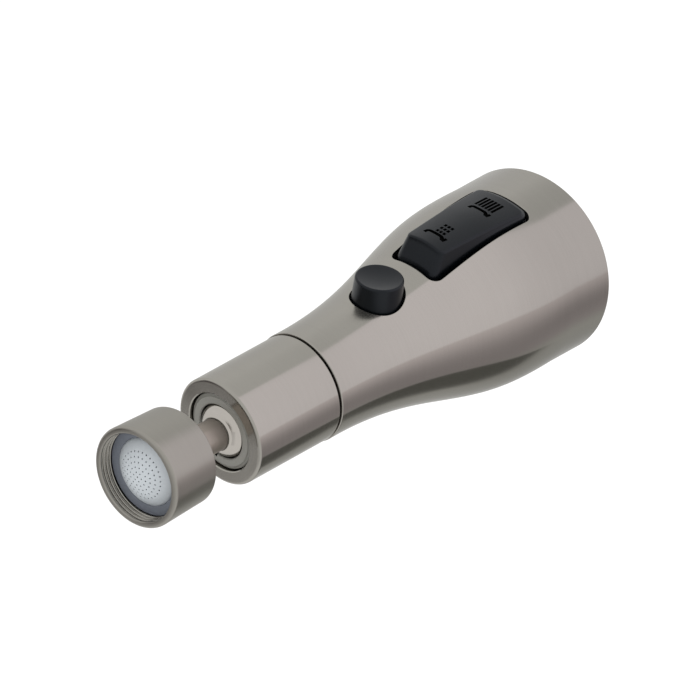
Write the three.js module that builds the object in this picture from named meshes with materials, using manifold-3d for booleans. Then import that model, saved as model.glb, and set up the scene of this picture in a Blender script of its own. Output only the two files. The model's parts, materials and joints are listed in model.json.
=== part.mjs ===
// Pull-down spray head for a commercial kitchen faucet: a brushed bell-shaped handle with a
// pause button and a spray/stream rocker, on a ball joint that carries the hose nut.
// Millimetres. +X runs from the hose to the spray face, +Z is the side with the buttons, and
// the origin is the centre of the neck sleeve's end face.
import * as THREE from "three";
import { mergeVertices } from "three/addons/utils/BufferGeometryUtils.js";
import Module from "manifold-3d";

const wasm = await Module();
wasm.setup();

// ---- Fits -------------------------------------------------------------------------------
const GAP = 0.3; // between pieces that are seated on each other
const SEAM = 0.35; // shadow line between the neck sleeve and the shell
const OVERCUT = 1; // how far a cutting tool runs past the face that it opens
const EMBED = 0.5; // how far joined shapes reach into each other
const CHAMFER = 0.5; // on the moulded edges inside

// ---- Facets round a full turn -----------------------------------------------------------
const FACETS_SHELL = 36;
const FACETS_BODY = 20;
const FACETS_INNER = 14;
const FACETS_SMALL = 10;
const FACETS_PIN = 6;
const FACETS_WIRE = 5;
const EDGE_STEPS = 3; // along a rounded edge
const COIL_STEPS = 8; // along one turn of a spring
const WELD = 1e-4; // points closer than this are one point

// ---- Neck sleeve ------------------------------------------------------------------------
const SLEEVE_LENGTH = 27;
const SLEEVE_HOSE_RADIUS = 13.7;
const SLEEVE_SHELL_RADIUS = 14.2;
const SLEEVE_EDGE = 0.85; // rounded edges at both ends
const SOCKET_WALL = 1.25; // of the ball seat and its retainer, beyond the ball
const SPIGOT_LENGTH = 4.5; // reaches into the shell's neck

// ---- Shell ------------------------------------------------------------------------------
// The outline is an S of two cubic curves that meet where the flare is steepest. The controls
// are placed from that station.
const SHELL_WALL = 1.8;
const SHELL_NECK_RADIUS = 14.48;
const FLARE_RUN = 41.6; // from the neck's end to the steepest point of the flare
const FLARE_RADIUS = 21.1;
const FLARE_SLOPE = 0.29;
const BELL_RUN = 37.9; // from there to the full bell
const BELL_RADIUS = 26.85;
const RIM_RUN = 12.9; // from there to the open rim
const RIM_FLARE = 0.45; // how much wider the rim is than the bell
const NECK_PULL = 0.45; // handles of the curves, as shares of their runs
const FLARE_PULL_BACK = 0.24;
const FLARE_PULL_AHEAD = 0.385;
const BELL_PULL = 0.46;
const RIM_EDGE = 0.4;
const FACE_BORE_WALL = 2.1; // shell wall at the register that holds the spray face
const FACE_BORE_DEPTH = 9.5;
const REGISTER_LEDGE = 0.4; // step at the register's bottom
const OUTSIDE_STEPS = 6; // along each curve
const INSIDE_STEPS = 4;

// ---- Ball joint and hose nut ------------------------------------------------------------
const BALL_RADIUS = 8.25;
const BALL_DEPTH = 5.67; // centre of the ball behind the sleeve's end face
const BALL_MOUTH = 3.4; // water passage at the ball's inner end
const STEM_RADIUS = 4;
const STEM_BORE = 2.6;
const STEM_FILLET = 1.2;
const RETAINER_RECESS = 0.58;
const RETAINER_LIP = 0.25; // chamfer from the ring's face to its aperture
const RETAINER_EDGE = 0.35;
const RETAINER_BACK = 0.55; // the ring ends this far past the ball's widest point
const NOTCH_WIDTH = 1.1; // spanner notch in the ring's aperture
const NOTCH_DEPTH = 0.8;
const NOTCH_ANGLE = -82; // degrees from +Y towards +Z
const SEAT_MOUTH = 4.6;
const SEAT_FLOOR = 1.5; // seat material behind its mouth
const SOCKET_STEPS = 5;
const BALL_STEPS = 8;
const FILLET_STEPS = 2;
const TILT = 8.46; // degrees between the nut's axis and the handle's
const TILT_AXIS = new THREE.Vector3(0, 0.7684, 0.64);
const NUT_REAR = 21.37; // from the ball's centre, along the stem
const NUT_LENGTH = 13.95;
const NUT_REAR_RADIUS = 12;
const NUT_MOUTH_RADIUS = 12.21;
const NUT_BORE = 11;
const NUT_REAR_WALL = 2.2;
const NUT_BEVEL = 0.7; // inner bevel of the mouth
const NUT_EDGE = 0.5;
const WASHER_DEPTH = 3.85; // below the nut's mouth
const WASHER_THICKNESS = 2;
const SCREEN_RADIUS = 9.1;
const SCREEN_THICKNESS = 0.9;
const SCREEN_HOLE = 0.5;
const SCREEN_RINGS = 3;
const SCREEN_MARGIN = 0.75; // from the outer ring of holes to the edge, in pitches
const FLANGE_THICKNESS = 2.6;
const FLANGE_HUB = 7.5;
const FLANGE_FUNNEL = 6.6;

// ---- Waterway ---------------------------------------------------------------------------
const NECK_SEAL_STATION = 21.2;
const VALVE_BORE = 6.3; // check valve pocket
const VALVE_DEPTH = 12.3;
const COLLAR_WIDTH = 1.5;
const TUBE_RADIUS = 7.2;
const TUBE_BORE = 4.5;
const O_RING = 0.75; // section radius of the larger seals
const SMALL_O_RING = 0.55;

// ---- Check valve ------------------------------------------------------------------------
const CHECK_SEAT = 3.4;
const CHECK_SEAT_WALL = 1.5;
const CHECK_BORE = 5;
const CHECK_HEAD = 4.3;
const CHECK_HEAD_THICKNESS = 1.6;
const CHECK_STEM = 1;
const CHECK_HUB = 2.1;
const CHECK_HUB_THICKNESS = 1.6;
const CHECK_ARMS = 3;
const CHECK_ARM_WIDTH = 1.2;
const CHECK_SPRING_RADIUS = 3;
const CHECK_SPRING_WIRE = 0.35;
const SPRING_TURNS = 4;

// ---- Pause button and its valve ---------------------------------------------------------
const BUTTON_SETBACK = 15.65; // behind the steepest point of the flare
const BUTTON_TOP = 21.9; // height of the cap's rim
const BUTTON_RIM_RADIUS = 6.2;
const BUTTON_BASE_RADIUS = 6.6;
const BUTTON_DISH = 0.6;
const BUTTON_EDGE = 0.45;
const DISH_STEPS = 3;
const BUTTON_ROOF = 2.1;
const BUTTON_BORE = 5;
const BUTTON_FLANGE_RADIUS = 7.6;
const BUTTON_FLANGE_THICKNESS = 1.2;
const BUTTON_FLANGE_TOP = 12.6;
const BUTTON_BOSS = 2.6;
const BUTTON_BOSS_LENGTH = 3.4;
const PAUSE_TRAVEL = 3;
const PAUSE_REST = 0.4; // left between the seal and the weir when the button is down
const TURRET_RADIUS = 5.8;
const TURRET_TOP = 8;
const TURRET_BOTTOM = 6.6; // depth below the axis
const CHAMBER_RADIUS = 4.4;
const CHAMBER_FLOOR = 5.2; // depth below the axis
const WEIR_TOP = 0.3;
const WEIR_THICKNESS = 1.2;
const WEIR_HOLE = 2.4;
const PORT_WIDTH = 6;
const PORT_HEIGHT = 2.8;
const PLUNGER_RADIUS = 1.5;
const PLUNGER_TIP_RADIUS = 0.9;
const PLUNGER_SOCKET = 0.6; // depth of the plunger's seat in the cap's roof
const PLUNGER_HEAD_RADIUS = 1.7;
const PLUNGER_HEAD_THICKNESS = 0.7;
const PLUNGER_SEAL_RADIUS = 3.4;
const PLUNGER_SEAL_THICKNESS = 1.4;
const BONNET_LIP_RADIUS = 4.6;
const BONNET_LIP = 0.7;
const BONNET_PLUG = 1.4;
const PAUSE_SPRING_RADIUS = 3.8;
const PAUSE_SPRING_WIRE = 0.4;

// ---- Rocker -----------------------------------------------------------------------------
// Outlines with X measured from the steepest point of the flare: the slot in the shell, the
// rocker where it passes through the slot, and the edge of its top.
const ROCKER_SLOT = { front: -3.15, rear: 34.05, halfFront: 8, halfRear: 9.35, corner: 2.9 };
const ROCKER_FOOT = { front: -2.25, rear: 33.35, halfFront: 6.7, halfRear: 8.2, corner: 2.3 };
const ROCKER_CREST = { front: 0.35, rear: 32.25, halfFront: 6.2, halfRear: 7.95, corner: 1.8 };
const ROCKER_CORNER = 0.4; // smallest corner of an inner outline
const CORNER_STEPS = 3;
const END_STEPS = 2;
const SIDE_STEPS = 5;
const ROCKER_WALL = 1.8;
const ROCKER_ROOF = 2.2;
const ROCKER_EDGE = 0.5;
const ROCKER_CROWN = 1; // how far the top's middle stands above its sides
const ROCKER_KINK = { x: 19.05, z: 26.4, frontSlope: 0.065, rearSlope: 0.01, softness: 2.5 };
const ROCKER_SKIRT_FRONT = 16.8; // height of the skirt's lower edge
const ROCKER_SKIRT_REAR = 20.6;
const PIVOT_ADVANCE = 15.55; // ahead of the steepest point of the flare
const PIVOT_HEIGHT = 18;
const PIN_RADIUS = 1.25;
const HUB_RADIUS = 3.1;
const HUB_FACETS = 12;
const TIP_STEPS = 4;
const LEVER_WIDTH = 5; // along the pin
const LEVER_THICKNESS = 3.2;
const LEVER_TIP = 4.3; // height of the lever's end above the axis
const ROCKER_THROW = 10; // degrees

// ---- Control frame ----------------------------------------------------------------------
const FRAME_THICKNESS = 1.8;
const FRAME_HALF_WIDTH = 8.4;
const FRAME_OVERHANG = 1.7; // past each screw
const EAR_THICKNESS = 2.2;
const EAR_RADIUS = 2.7;
const EAR_PLAY = 0.4; // between each ear and the lever
const EAR_SPREAD = 1.2; // of the ear's foot, on each side
const EAR_STEPS = 6;
const POST_LENGTH = 3;
const POST_WIDTH = 1.6;
const POST_ADVANCES = [4.55, 25.05]; // stops under the rocker's side walls
const SCREW_RADIUS = 1;
const SCREW_HEAD_RADIUS = 2;
const SCREW_HEAD_HEIGHT = 1.5;
const SCREW_DEPTH = 3;
const SCREW_TAPER = 0.6; // the point's and the dome's share of the full radius

// ---- Diverter ---------------------------------------------------------------------------
const BLOCK_RADIUS = 9; // widened part of the waterway
const BLOCK_ADVANCE = 2.05;
const BLOCK_LENGTH = 29.6;
const SPOOL_BORE = 6;
const SPOOL_BORE_ADVANCE = 6.45;
const SPOOL_BORE_LENGTH = 21.2;
const SPOOL_LENGTH = 17;
const SPOOL_REST = 1.6; // from the bore's end to the spool
const SPOOL_PASSAGE = 3;
const SPOOL_GROOVE_RADIUS = 3.9;
const SPOOL_LAND = 2.2; // from each end to its seal groove
const FORK_PLAY = 0.4; // between the lever and the spool's groove
const OUTLET_BORE = 5;

// ---- Spray face -------------------------------------------------------------------------
const CHAMBER_FACE = 15.4; // distance of the chamber's back from the shell's rim
const CHAMBER_BACK_WALL = 2;
const CHAMBER_WALL = 1.8;
const CHAMBER_DEPTH = 8.5;
const CHAMBER_HAUNCH = 2; // the cone behind the chamber ends this far inside its bore
const DECK_STANDOFF = 1.3;
const DECK_THICKNESS = 3.2;
const DECK_HUB = 10.4;
const DECK_JET = 4.6;
const DECK_PORTS = 6;
const DECK_PORT_RADIUS = 1.7;
const DECK_PORT_CIRCLE = 14.2;
const FACE_SCREWS = 3;
const FACE_SCREW_CIRCLE = 16.4;
const FACE_SCREW_BITE = 1; // into the chamber's floor
const BOSS_WALL = 1.6;
const MAT_THICKNESS = 1.9;
const PLATE_THICKNESS = 2;
const NOZZLE_RINGS = [
  { radius: 19.4, count: 16 },
  { radius: 14, count: 8 },
];
const NOZZLE_BASE = 1.3;
const NOZZLE_TIP = 0.85;
const NOZZLE_BORE = 0.45;
const NOZZLE_STAND = 1.8; // above the plate
const NOZZLE_PLAY = 0.4;
const NOZZLE_FACETS = 5;
const BORE_FACETS = 4;
const FACE_RING_WALL = 1.6;
const FACE_LIP = 1.2;
const FACE_LIP_WIDTH = 2.6;
const FACE_EDGE = 0.4;
const AERATOR_RADIUS = 8.9;
const AERATOR_WALL = 1.4;
const AERATOR_LIP = 1.1;
const AERATOR_LIP_WIDTH = 0.9;
const AERATOR_SEAT = 1.6; // deck behind the aerator's pocket
const AERATOR_STAND = 1.2;
const AERATOR_SCREEN = 0.8;
const AERATOR_MESH = 0.9; // holes of its screen
const AERATOR_MESH_RINGS = 2;
const AERATOR_CUP = 3;
const AERATOR_CUP_WALL = 1;
const AERATOR_HOLE = 0.55;
const AERATOR_JETS = 6;

// ---- Finishes ---------------------------------------------------------------------------
const NICKEL = { color: 0xa8a49d, roughness: 0.34, metalness: 1 };
const BRIGHT_NICKEL = { color: 0xb5b0a9, roughness: 0.15, metalness: 1 };
const GREY_ACETAL = { color: 0x77776f, roughness: 0.5, metalness: 0 };
const CHARCOAL = { color: 0x2e2f32, roughness: 0.45, metalness: 0 };
const DARK_PLASTIC = { color: 0x26282b, roughness: 0.4, metalness: 0 };
const WHITE_ACETAL = { color: 0xd9d8d2, roughness: 0.5, metalness: 0 };
const MOULDED_GREY = { color: 0x8d9091, roughness: 0.5, metalness: 0 };
const WASHER_RUBBER = { color: 0x6d727b, roughness: 0.7, metalness: 0 };
const BLACK_RUBBER = { color: 0x1b1b1c, roughness: 0.75, metalness: 0 };
const NOZZLE_RUBBER = { color: 0x55585c, roughness: 0.65, metalness: 0 };
const SCREEN_PLASTIC = { color: 0xb5babd, roughness: 0.45, metalness: 0 };
const STEEL = { color: 0xb9b9b6, roughness: 0.3, metalness: 1 };

// ---- Geometry helpers -------------------------------------------------------------------
const degrees = THREE.MathUtils.degToRad;

// Circular arc as [x, r] points, from one angle to the other in degrees.
function arc(x, r, radius, from, to, steps) {
  const points = [];
  for (let i = 0; i <= steps; i++) {
    const angle = degrees(from + ((to - from) * i) / steps);
    points.push([x + radius * Math.cos(angle), r + radius * Math.sin(angle)]);
  }
  return points;
}

// Solid of revolution about X. The profile is a list of [x, r] whose outer side runs to +X.
function revolve(profile, facets) {
  const points = profile.map(([x, r]) => new THREE.Vector2(r, x));
  const closed = profile[0][1] === 0 && profile.at(-1)[1] === 0;
  if (!closed) points.push(points[0].clone());
  return new THREE.LatheGeometry(points, facets).rotateZ(-Math.PI / 2);
}

// The same about a vertical axis, for a profile of [z, r].
function revolveUp(profile, facets, x, y = 0) {
  return revolve(profile, facets).rotateY(-Math.PI / 2).translate(x, y, 0);
}

function tube(start, end, outer, inner, facets) {
  return revolve([[start, outer], [end, outer], [end, inner], [start, inner]], facets);
}

function rod(start, end, radius, facets) {
  return revolve([[start, 0], [start, radius], [end, radius], [end, 0]], facets);
}

function upright(bottom, top, radius, facets, x, y = 0) {
  return rod(bottom, top, radius, facets).rotateY(-Math.PI / 2).translate(x, y, 0);
}

// An O-ring about X.
function ring(x, radius, section, facets = FACETS_INNER) {
  const lastAngle = 180 - 360 * (1 - 1 / FACETS_WIRE);
  return revolve(arc(x, radius, section, 180, lastAngle, FACETS_WIRE - 1), facets);
}

function box(x0, x1, y0, y1, z0, z1) {
  const geometry = new THREE.BoxGeometry(x1 - x0, y1 - y0, z1 - z0);
  return geometry.translate((x0 + x1) / 2, (y0 + y1) / 2, (z0 + z1) / 2);
}

function polar(radius, turn) {
  return [radius * Math.cos(turn), radius * Math.sin(turn)];
}

function circlePath(y, z, radius, sides) {
  const path = new THREE.Path();
  for (let i = 0; i < sides; i++) {
    const [dy, dz] = polar(radius, (-2 * Math.PI * i) / sides);
    if (i === 0) path.moveTo(y + dy, z + dz);
    else path.lineTo(y + dy, z + dz);
  }
  path.closePath();
  return path;
}

// A flat disc across X with round holes, each [y, z, radius, sides].
function disc(start, end, radius, facets, holes) {
  const shape = new THREE.Shape(circlePath(0, 0, radius, facets).getPoints().reverse());
  shape.holes = holes.map(([y, z, r, sides]) => circlePath(y, z, r, sides));
  const geometry = new THREE.ExtrudeGeometry(shape, {
    depth: end - start,
    bevelEnabled: false,
    curveSegments: 1,
  });
  const toX = new THREE.Matrix4().makeBasis(
    new THREE.Vector3(0, 1, 0),
    new THREE.Vector3(0, 0, 1),
    new THREE.Vector3(1, 0, 0),
  );
  return geometry.applyMatrix4(toX).translate(start, 0, 0);
}

// An outline of [x, z] corners or arcs, extruded to a thickness along Y.
function slab(outline, width, y = 0) {
  const shape = new THREE.Shape(outline.map(([x, z]) => new THREE.Vector2(x, z)));
  const geometry = new THREE.ExtrudeGeometry(shape, { depth: width, bevelEnabled: false });
  return geometry.rotateX(Math.PI / 2).translate(0, y + width / 2, 0);
}

// A coil spring along X.
function spring(start, end, radius, wire) {
  const steps = COIL_STEPS * SPRING_TURNS;
  const curve = new THREE.CatmullRomCurve3(
    Array.from({ length: steps + 1 }, (_, i) => {
      const [y, z] = polar(radius, (2 * Math.PI * i) / COIL_STEPS);
      return new THREE.Vector3(start + wire + ((end - start - 2 * wire) * i) / steps, y, z);
    }),
  );
  const section = new THREE.Shape(circlePath(0, 0, wire, FACETS_WIRE).getPoints().reverse());
  return new THREE.ExtrudeGeometry(section, { steps, extrudePath: curve });
}

function toSolid(geometry) {
  const bare = geometry.clone().deleteAttribute("normal").deleteAttribute("uv");
  const merged = mergeVertices(bare, WELD);
  const vertProperties = new Float32Array(merged.attributes.position.array);
  const triVerts = new Uint32Array(merged.index.array);
  return new wasm.Manifold(new wasm.Mesh({ numProp: 3, vertProperties, triVerts }));
}

function toGeometry(solid) {
  const { vertProperties, triVerts } = solid.getMesh();
  const geometry = new THREE.BufferGeometry();
  geometry.setAttribute("position", new THREE.BufferAttribute(vertProperties, 3));
  geometry.setIndex(new THREE.BufferAttribute(triVerts, 1));
  geometry.computeVertexNormals();
  return geometry;
}

function join(first, ...others) {
  return toGeometry(others.reduce((sum, other) => sum.add(toSolid(other)), toSolid(first)));
}

function cut(body, ...tools) {
  return toGeometry(tools.reduce((rest, tool) => rest.subtract(toSolid(tool)), toSolid(body)));
}

const sprayHead = new THREE.Group();

function piece(name, geometry, finish, parent = sprayHead) {
  const mesh = new THREE.Mesh(geometry, new THREE.MeshStandardMaterial(finish));
  mesh.name = name;
  parent.add(mesh);
  return mesh;
}

// ---- Stations worked out from the driving sizes -----------------------------------------
const shellStart = SLEEVE_LENGTH + SEAM;
const flareStation = shellStart + FLARE_RUN;
const bellStation = flareStation + BELL_RUN;
const rimStation = bellStation + RIM_RUN;
const rimRadius = BELL_RADIUS + RIM_FLARE;
const buttonStation = flareStation - BUTTON_SETBACK;
const pivotStation = flareStation + PIVOT_ADVANCE;
const blockStart = flareStation + BLOCK_ADVANCE;
const spoolBoreStart = flareStation + SPOOL_BORE_ADVANCE;

const flareCurve = new THREE.CubicBezierCurve(
  new THREE.Vector2(shellStart, SHELL_NECK_RADIUS),
  new THREE.Vector2(shellStart + NECK_PULL * FLARE_RUN, SHELL_NECK_RADIUS),
  new THREE.Vector2(
    flareStation - FLARE_PULL_BACK * FLARE_RUN,
    FLARE_RADIUS - FLARE_PULL_BACK * FLARE_RUN * FLARE_SLOPE,
  ),
  new THREE.Vector2(flareStation, FLARE_RADIUS),
);
const bellCurve = new THREE.CubicBezierCurve(
  new THREE.Vector2(flareStation, FLARE_RADIUS),
  new THREE.Vector2(
    flareStation + FLARE_PULL_AHEAD * BELL_RUN,
    FLARE_RADIUS + FLARE_PULL_AHEAD * BELL_RUN * FLARE_SLOPE,
  ),
  new THREE.Vector2(bellStation - BELL_PULL * BELL_RUN, BELL_RADIUS),
  new THREE.Vector2(bellStation, BELL_RADIUS),
);

// Outer radius of the shell at a station along X. The curves are halved until the point with
// that station is found.
function shellRadius(x) {
  if (x >= bellStation) {
    return BELL_RADIUS + (RIM_FLARE * (x - bellStation)) / RIM_RUN;
  }
  const curve = x < flareStation ? flareCurve : bellCurve;
  let low = 0;
  let high = 1;
  while (high - low > WELD ** 2) {
    const middle = (low + high) / 2;
    if (curve.getPoint(middle).x < x) low = middle;
    else high = middle;
  }
  return curve.getPoint(low).y;
}

// Height of the shell's outer surface over a point of the XY plane.
function shellHeight(x, y) {
  return Math.sqrt(shellRadius(x) ** 2 - y ** 2);
}

// ---- Neck sleeve ------------------------------------------------------------------------
const socketRadius = BALL_RADIUS + GAP;
const socketPieceRadius = socketRadius + SOCKET_WALL;
const socketBore = socketPieceRadius + GAP;
const spigotRadius = SHELL_NECK_RADIUS - SHELL_WALL - GAP;

function neckSleeve() {
  const edge = SLEEVE_EDGE;
  const shellEnd = SLEEVE_LENGTH - edge;
  return revolve(
    [
      ...arc(edge, SLEEVE_HOSE_RADIUS - edge, edge, 180, 90, EDGE_STEPS),
      ...arc(shellEnd, SLEEVE_SHELL_RADIUS - edge, edge, 90, 0, EDGE_STEPS),
      [SLEEVE_LENGTH, spigotRadius],
      [SLEEVE_LENGTH + SPIGOT_LENGTH, spigotRadius],
      [SLEEVE_LENGTH + SPIGOT_LENGTH, socketBore],
      [0, socketBore],
    ],
    FACETS_SHELL,
  );
}
piece("neck_sleeve", neckSleeve(), NICKEL);

// ---- Ball socket ------------------------------------------------------------------------
const retainerEnd = BALL_DEPTH + RETAINER_BACK;
const seatStart = retainerEnd + GAP;
const seatMouthDepth = Math.sqrt(socketRadius ** 2 - SEAT_MOUTH ** 2);
const seatEnd = BALL_DEPTH + seatMouthDepth + SEAT_FLOOR;

// The socket's sphere, from one station along X to another.
function socketArc(from, to) {
  const [start, end] = [from, to].map((x) =>
    THREE.MathUtils.radToDeg(Math.acos((x - BALL_DEPTH) / socketRadius)),
  );
  return arc(BALL_DEPTH, 0, socketRadius, start, end, SOCKET_STEPS);
}

function socketRetainer() {
  const lip = RETAINER_RECESS + RETAINER_LIP;
  const aperture = Math.sqrt(socketRadius ** 2 - (BALL_DEPTH - lip) ** 2);
  const body = revolve(
    [
      [RETAINER_RECESS, aperture + RETAINER_LIP],
      [RETAINER_RECESS, socketPieceRadius - RETAINER_EDGE],
      [RETAINER_RECESS + RETAINER_EDGE, socketPieceRadius],
      [retainerEnd, socketPieceRadius],
      ...socketArc(retainerEnd, lip),
    ],
    FACETS_BODY,
  );
  const notch = box(
    RETAINER_RECESS - OVERCUT,
    lip + NOTCH_DEPTH,
    aperture - OVERCUT,
    aperture + NOTCH_DEPTH,
    -NOTCH_WIDTH / 2,
    NOTCH_WIDTH / 2,
  );
  return cut(body, notch.rotateX(degrees(NOTCH_ANGLE)));
}
piece("socket_retainer", socketRetainer(), GREY_ACETAL);

function ballSeat() {
  return revolve(
    [
      [seatStart, socketPieceRadius],
      [seatEnd, socketPieceRadius],
      [seatEnd, SEAT_MOUTH],
      ...socketArc(BALL_DEPTH + seatMouthDepth, seatStart),
    ],
    FACETS_INNER,
  );
}
piece("ball_seat", ballSeat(), WHITE_ACETAL);

// ---- Ball, stem and hose nut, turned together about the ball's centre ---------------------
const tilted = new THREE.Group();
tilted.position.x = BALL_DEPTH;
tilted.setRotationFromAxisAngle(TILT_AXIS.clone().normalize(), degrees(TILT));
sprayHead.add(tilted);

const nutMouth = -NUT_REAR - NUT_LENGTH;
const washerFace = nutMouth + WASHER_DEPTH;
const flangeFace = washerFace + WASHER_THICKNESS + GAP;
const flangeRadius = NUT_BORE - GAP;
const nutFloor = -NUT_REAR - NUT_REAR_WALL;

function ballStem() {
  const filletX = Math.sqrt((BALL_RADIUS + STEM_FILLET) ** 2 - (STEM_RADIUS + STEM_FILLET) ** 2);
  const filletAngle = THREE.MathUtils.radToDeg(Math.atan2(STEM_RADIUS + STEM_FILLET, filletX));
  const mouthAngle = THREE.MathUtils.radToDeg(Math.asin(BALL_MOUTH / BALL_RADIUS));
  return revolve(
    [
      [flangeFace, FLANGE_FUNNEL],
      [flangeFace, flangeRadius],
      [flangeFace + FLANGE_THICKNESS, flangeRadius],
      [flangeFace + FLANGE_THICKNESS, FLANGE_HUB],
      [nutFloor - GAP, FLANGE_HUB],
      [nutFloor - GAP, STEM_RADIUS],
      ...arc(-filletX, STEM_RADIUS + STEM_FILLET, STEM_FILLET, -90, -filletAngle, FILLET_STEPS),
      ...arc(0, 0, BALL_RADIUS, 180 - filletAngle, mouthAngle, BALL_STEPS).slice(1),
      [BALL_RADIUS * Math.cos(degrees(mouthAngle)) - (BALL_MOUTH - STEM_BORE), STEM_BORE],
      [flangeFace + FLANGE_FUNNEL - STEM_BORE, STEM_BORE],
    ],
    FACETS_BODY,
  );
}
piece("ball_stem", ballStem(), BRIGHT_NICKEL, tilted);

function hoseNut() {
  return revolve(
    [
      [nutMouth, NUT_MOUTH_RADIUS - NUT_EDGE / 2],
      [nutMouth + NUT_EDGE / 2, NUT_MOUTH_RADIUS],
      [-NUT_REAR - NUT_EDGE, NUT_REAR_RADIUS],
      [-NUT_REAR, NUT_REAR_RADIUS - NUT_EDGE],
      [-NUT_REAR, STEM_RADIUS + GAP],
      [nutFloor, STEM_RADIUS + GAP],
      [nutFloor, NUT_BORE],
      [nutMouth + NUT_BEVEL, NUT_BORE],
      [nutMouth, NUT_BORE + NUT_BEVEL / 2],
    ],
    FACETS_SHELL,
  );
}
piece("hose_nut", hoseNut(), NICKEL, tilted);

const washerBore = SCREEN_RADIUS + GAP;
piece(
  "hose_washer",
  tube(washerFace, washerFace + WASHER_THICKNESS, flangeRadius, washerBore, FACETS_BODY),
  WASHER_RUBBER,
  tilted,
);

// Rings of holes, with six more in each ring than in the one inside it.
function holeRings(rings, outerRadius, hole, sides) {
  const pitch = outerRadius / (rings + SCREEN_MARGIN);
  const holes = [[0, 0, hole, sides]];
  for (let k = 1; k <= rings; k++) {
    for (let i = 0; i < 6 * k; i++) {
      holes.push([...polar(k * pitch, (Math.PI * i) / (3 * k)), hole, sides]);
    }
  }
  return holes;
}

function filterScreen() {
  const back = flangeFace - GAP;
  const holes = holeRings(SCREEN_RINGS, SCREEN_RADIUS, SCREEN_HOLE, FACETS_WIRE);
  return disc(back - SCREEN_THICKNESS, back, SCREEN_RADIUS, FACETS_INNER, holes);
}
piece("filter_screen", filterScreen(), SCREEN_PLASTIC, tilted);

// ---- Waterway body ------------------------------------------------------------------------
const waterwayStart = seatEnd + 2 * GAP;
const sealRadius = (VALVE_BORE + socketPieceRadius) / 2;
const sealCentre = seatEnd + GAP + O_RING;
const sealGroove = { inner: sealRadius - O_RING - GAP, outer: sealRadius + O_RING + GAP };
const collarStart = SLEEVE_LENGTH + SPIGOT_LENGTH + GAP;
const neckSealRadius = socketPieceRadius - O_RING;
const neckGrooveRadius = neckSealRadius - O_RING - GAP;
const valvePocketEnd = waterwayStart + VALVE_DEPTH;
const spoolBoreEnd = spoolBoreStart + SPOOL_BORE_LENGTH;
const blockEnd = blockStart + BLOCK_LENGTH;
const faceBore = rimRadius - FACE_BORE_WALL;
const chamberBack = rimStation - CHAMBER_FACE;
const chamberFloor = chamberBack + CHAMBER_BACK_WALL;
const chamberEnd = chamberBack + CHAMBER_DEPTH;
const chamberRadius = faceBore - FACE_RING_WALL - 2 * GAP;
const chamberBore = chamberRadius - CHAMBER_WALL;
const deckBack = chamberFloor + DECK_STANDOFF + GAP;
const deckFront = deckBack + DECK_THICKNESS;
const frameScrews = [(blockStart + spoolBoreStart) / 2, (spoolBoreEnd + blockEnd) / 2];
const screwAngles = Array.from(
  { length: FACE_SCREWS },
  (_, i) => Math.PI / 2 + (2 * Math.PI * i) / FACE_SCREWS,
);
const leverThrow = (PIVOT_HEIGHT - LEVER_TIP) * Math.sin(degrees(ROCKER_THROW));
const leverFront = pivotStation - LEVER_THICKNESS / 2 - FORK_PLAY;
const leverRear = pivotStation + LEVER_THICKNESS / 2 + leverThrow + FORK_PLAY;
const leverSlotHalf = LEVER_WIDTH / 2 + GAP;

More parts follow.
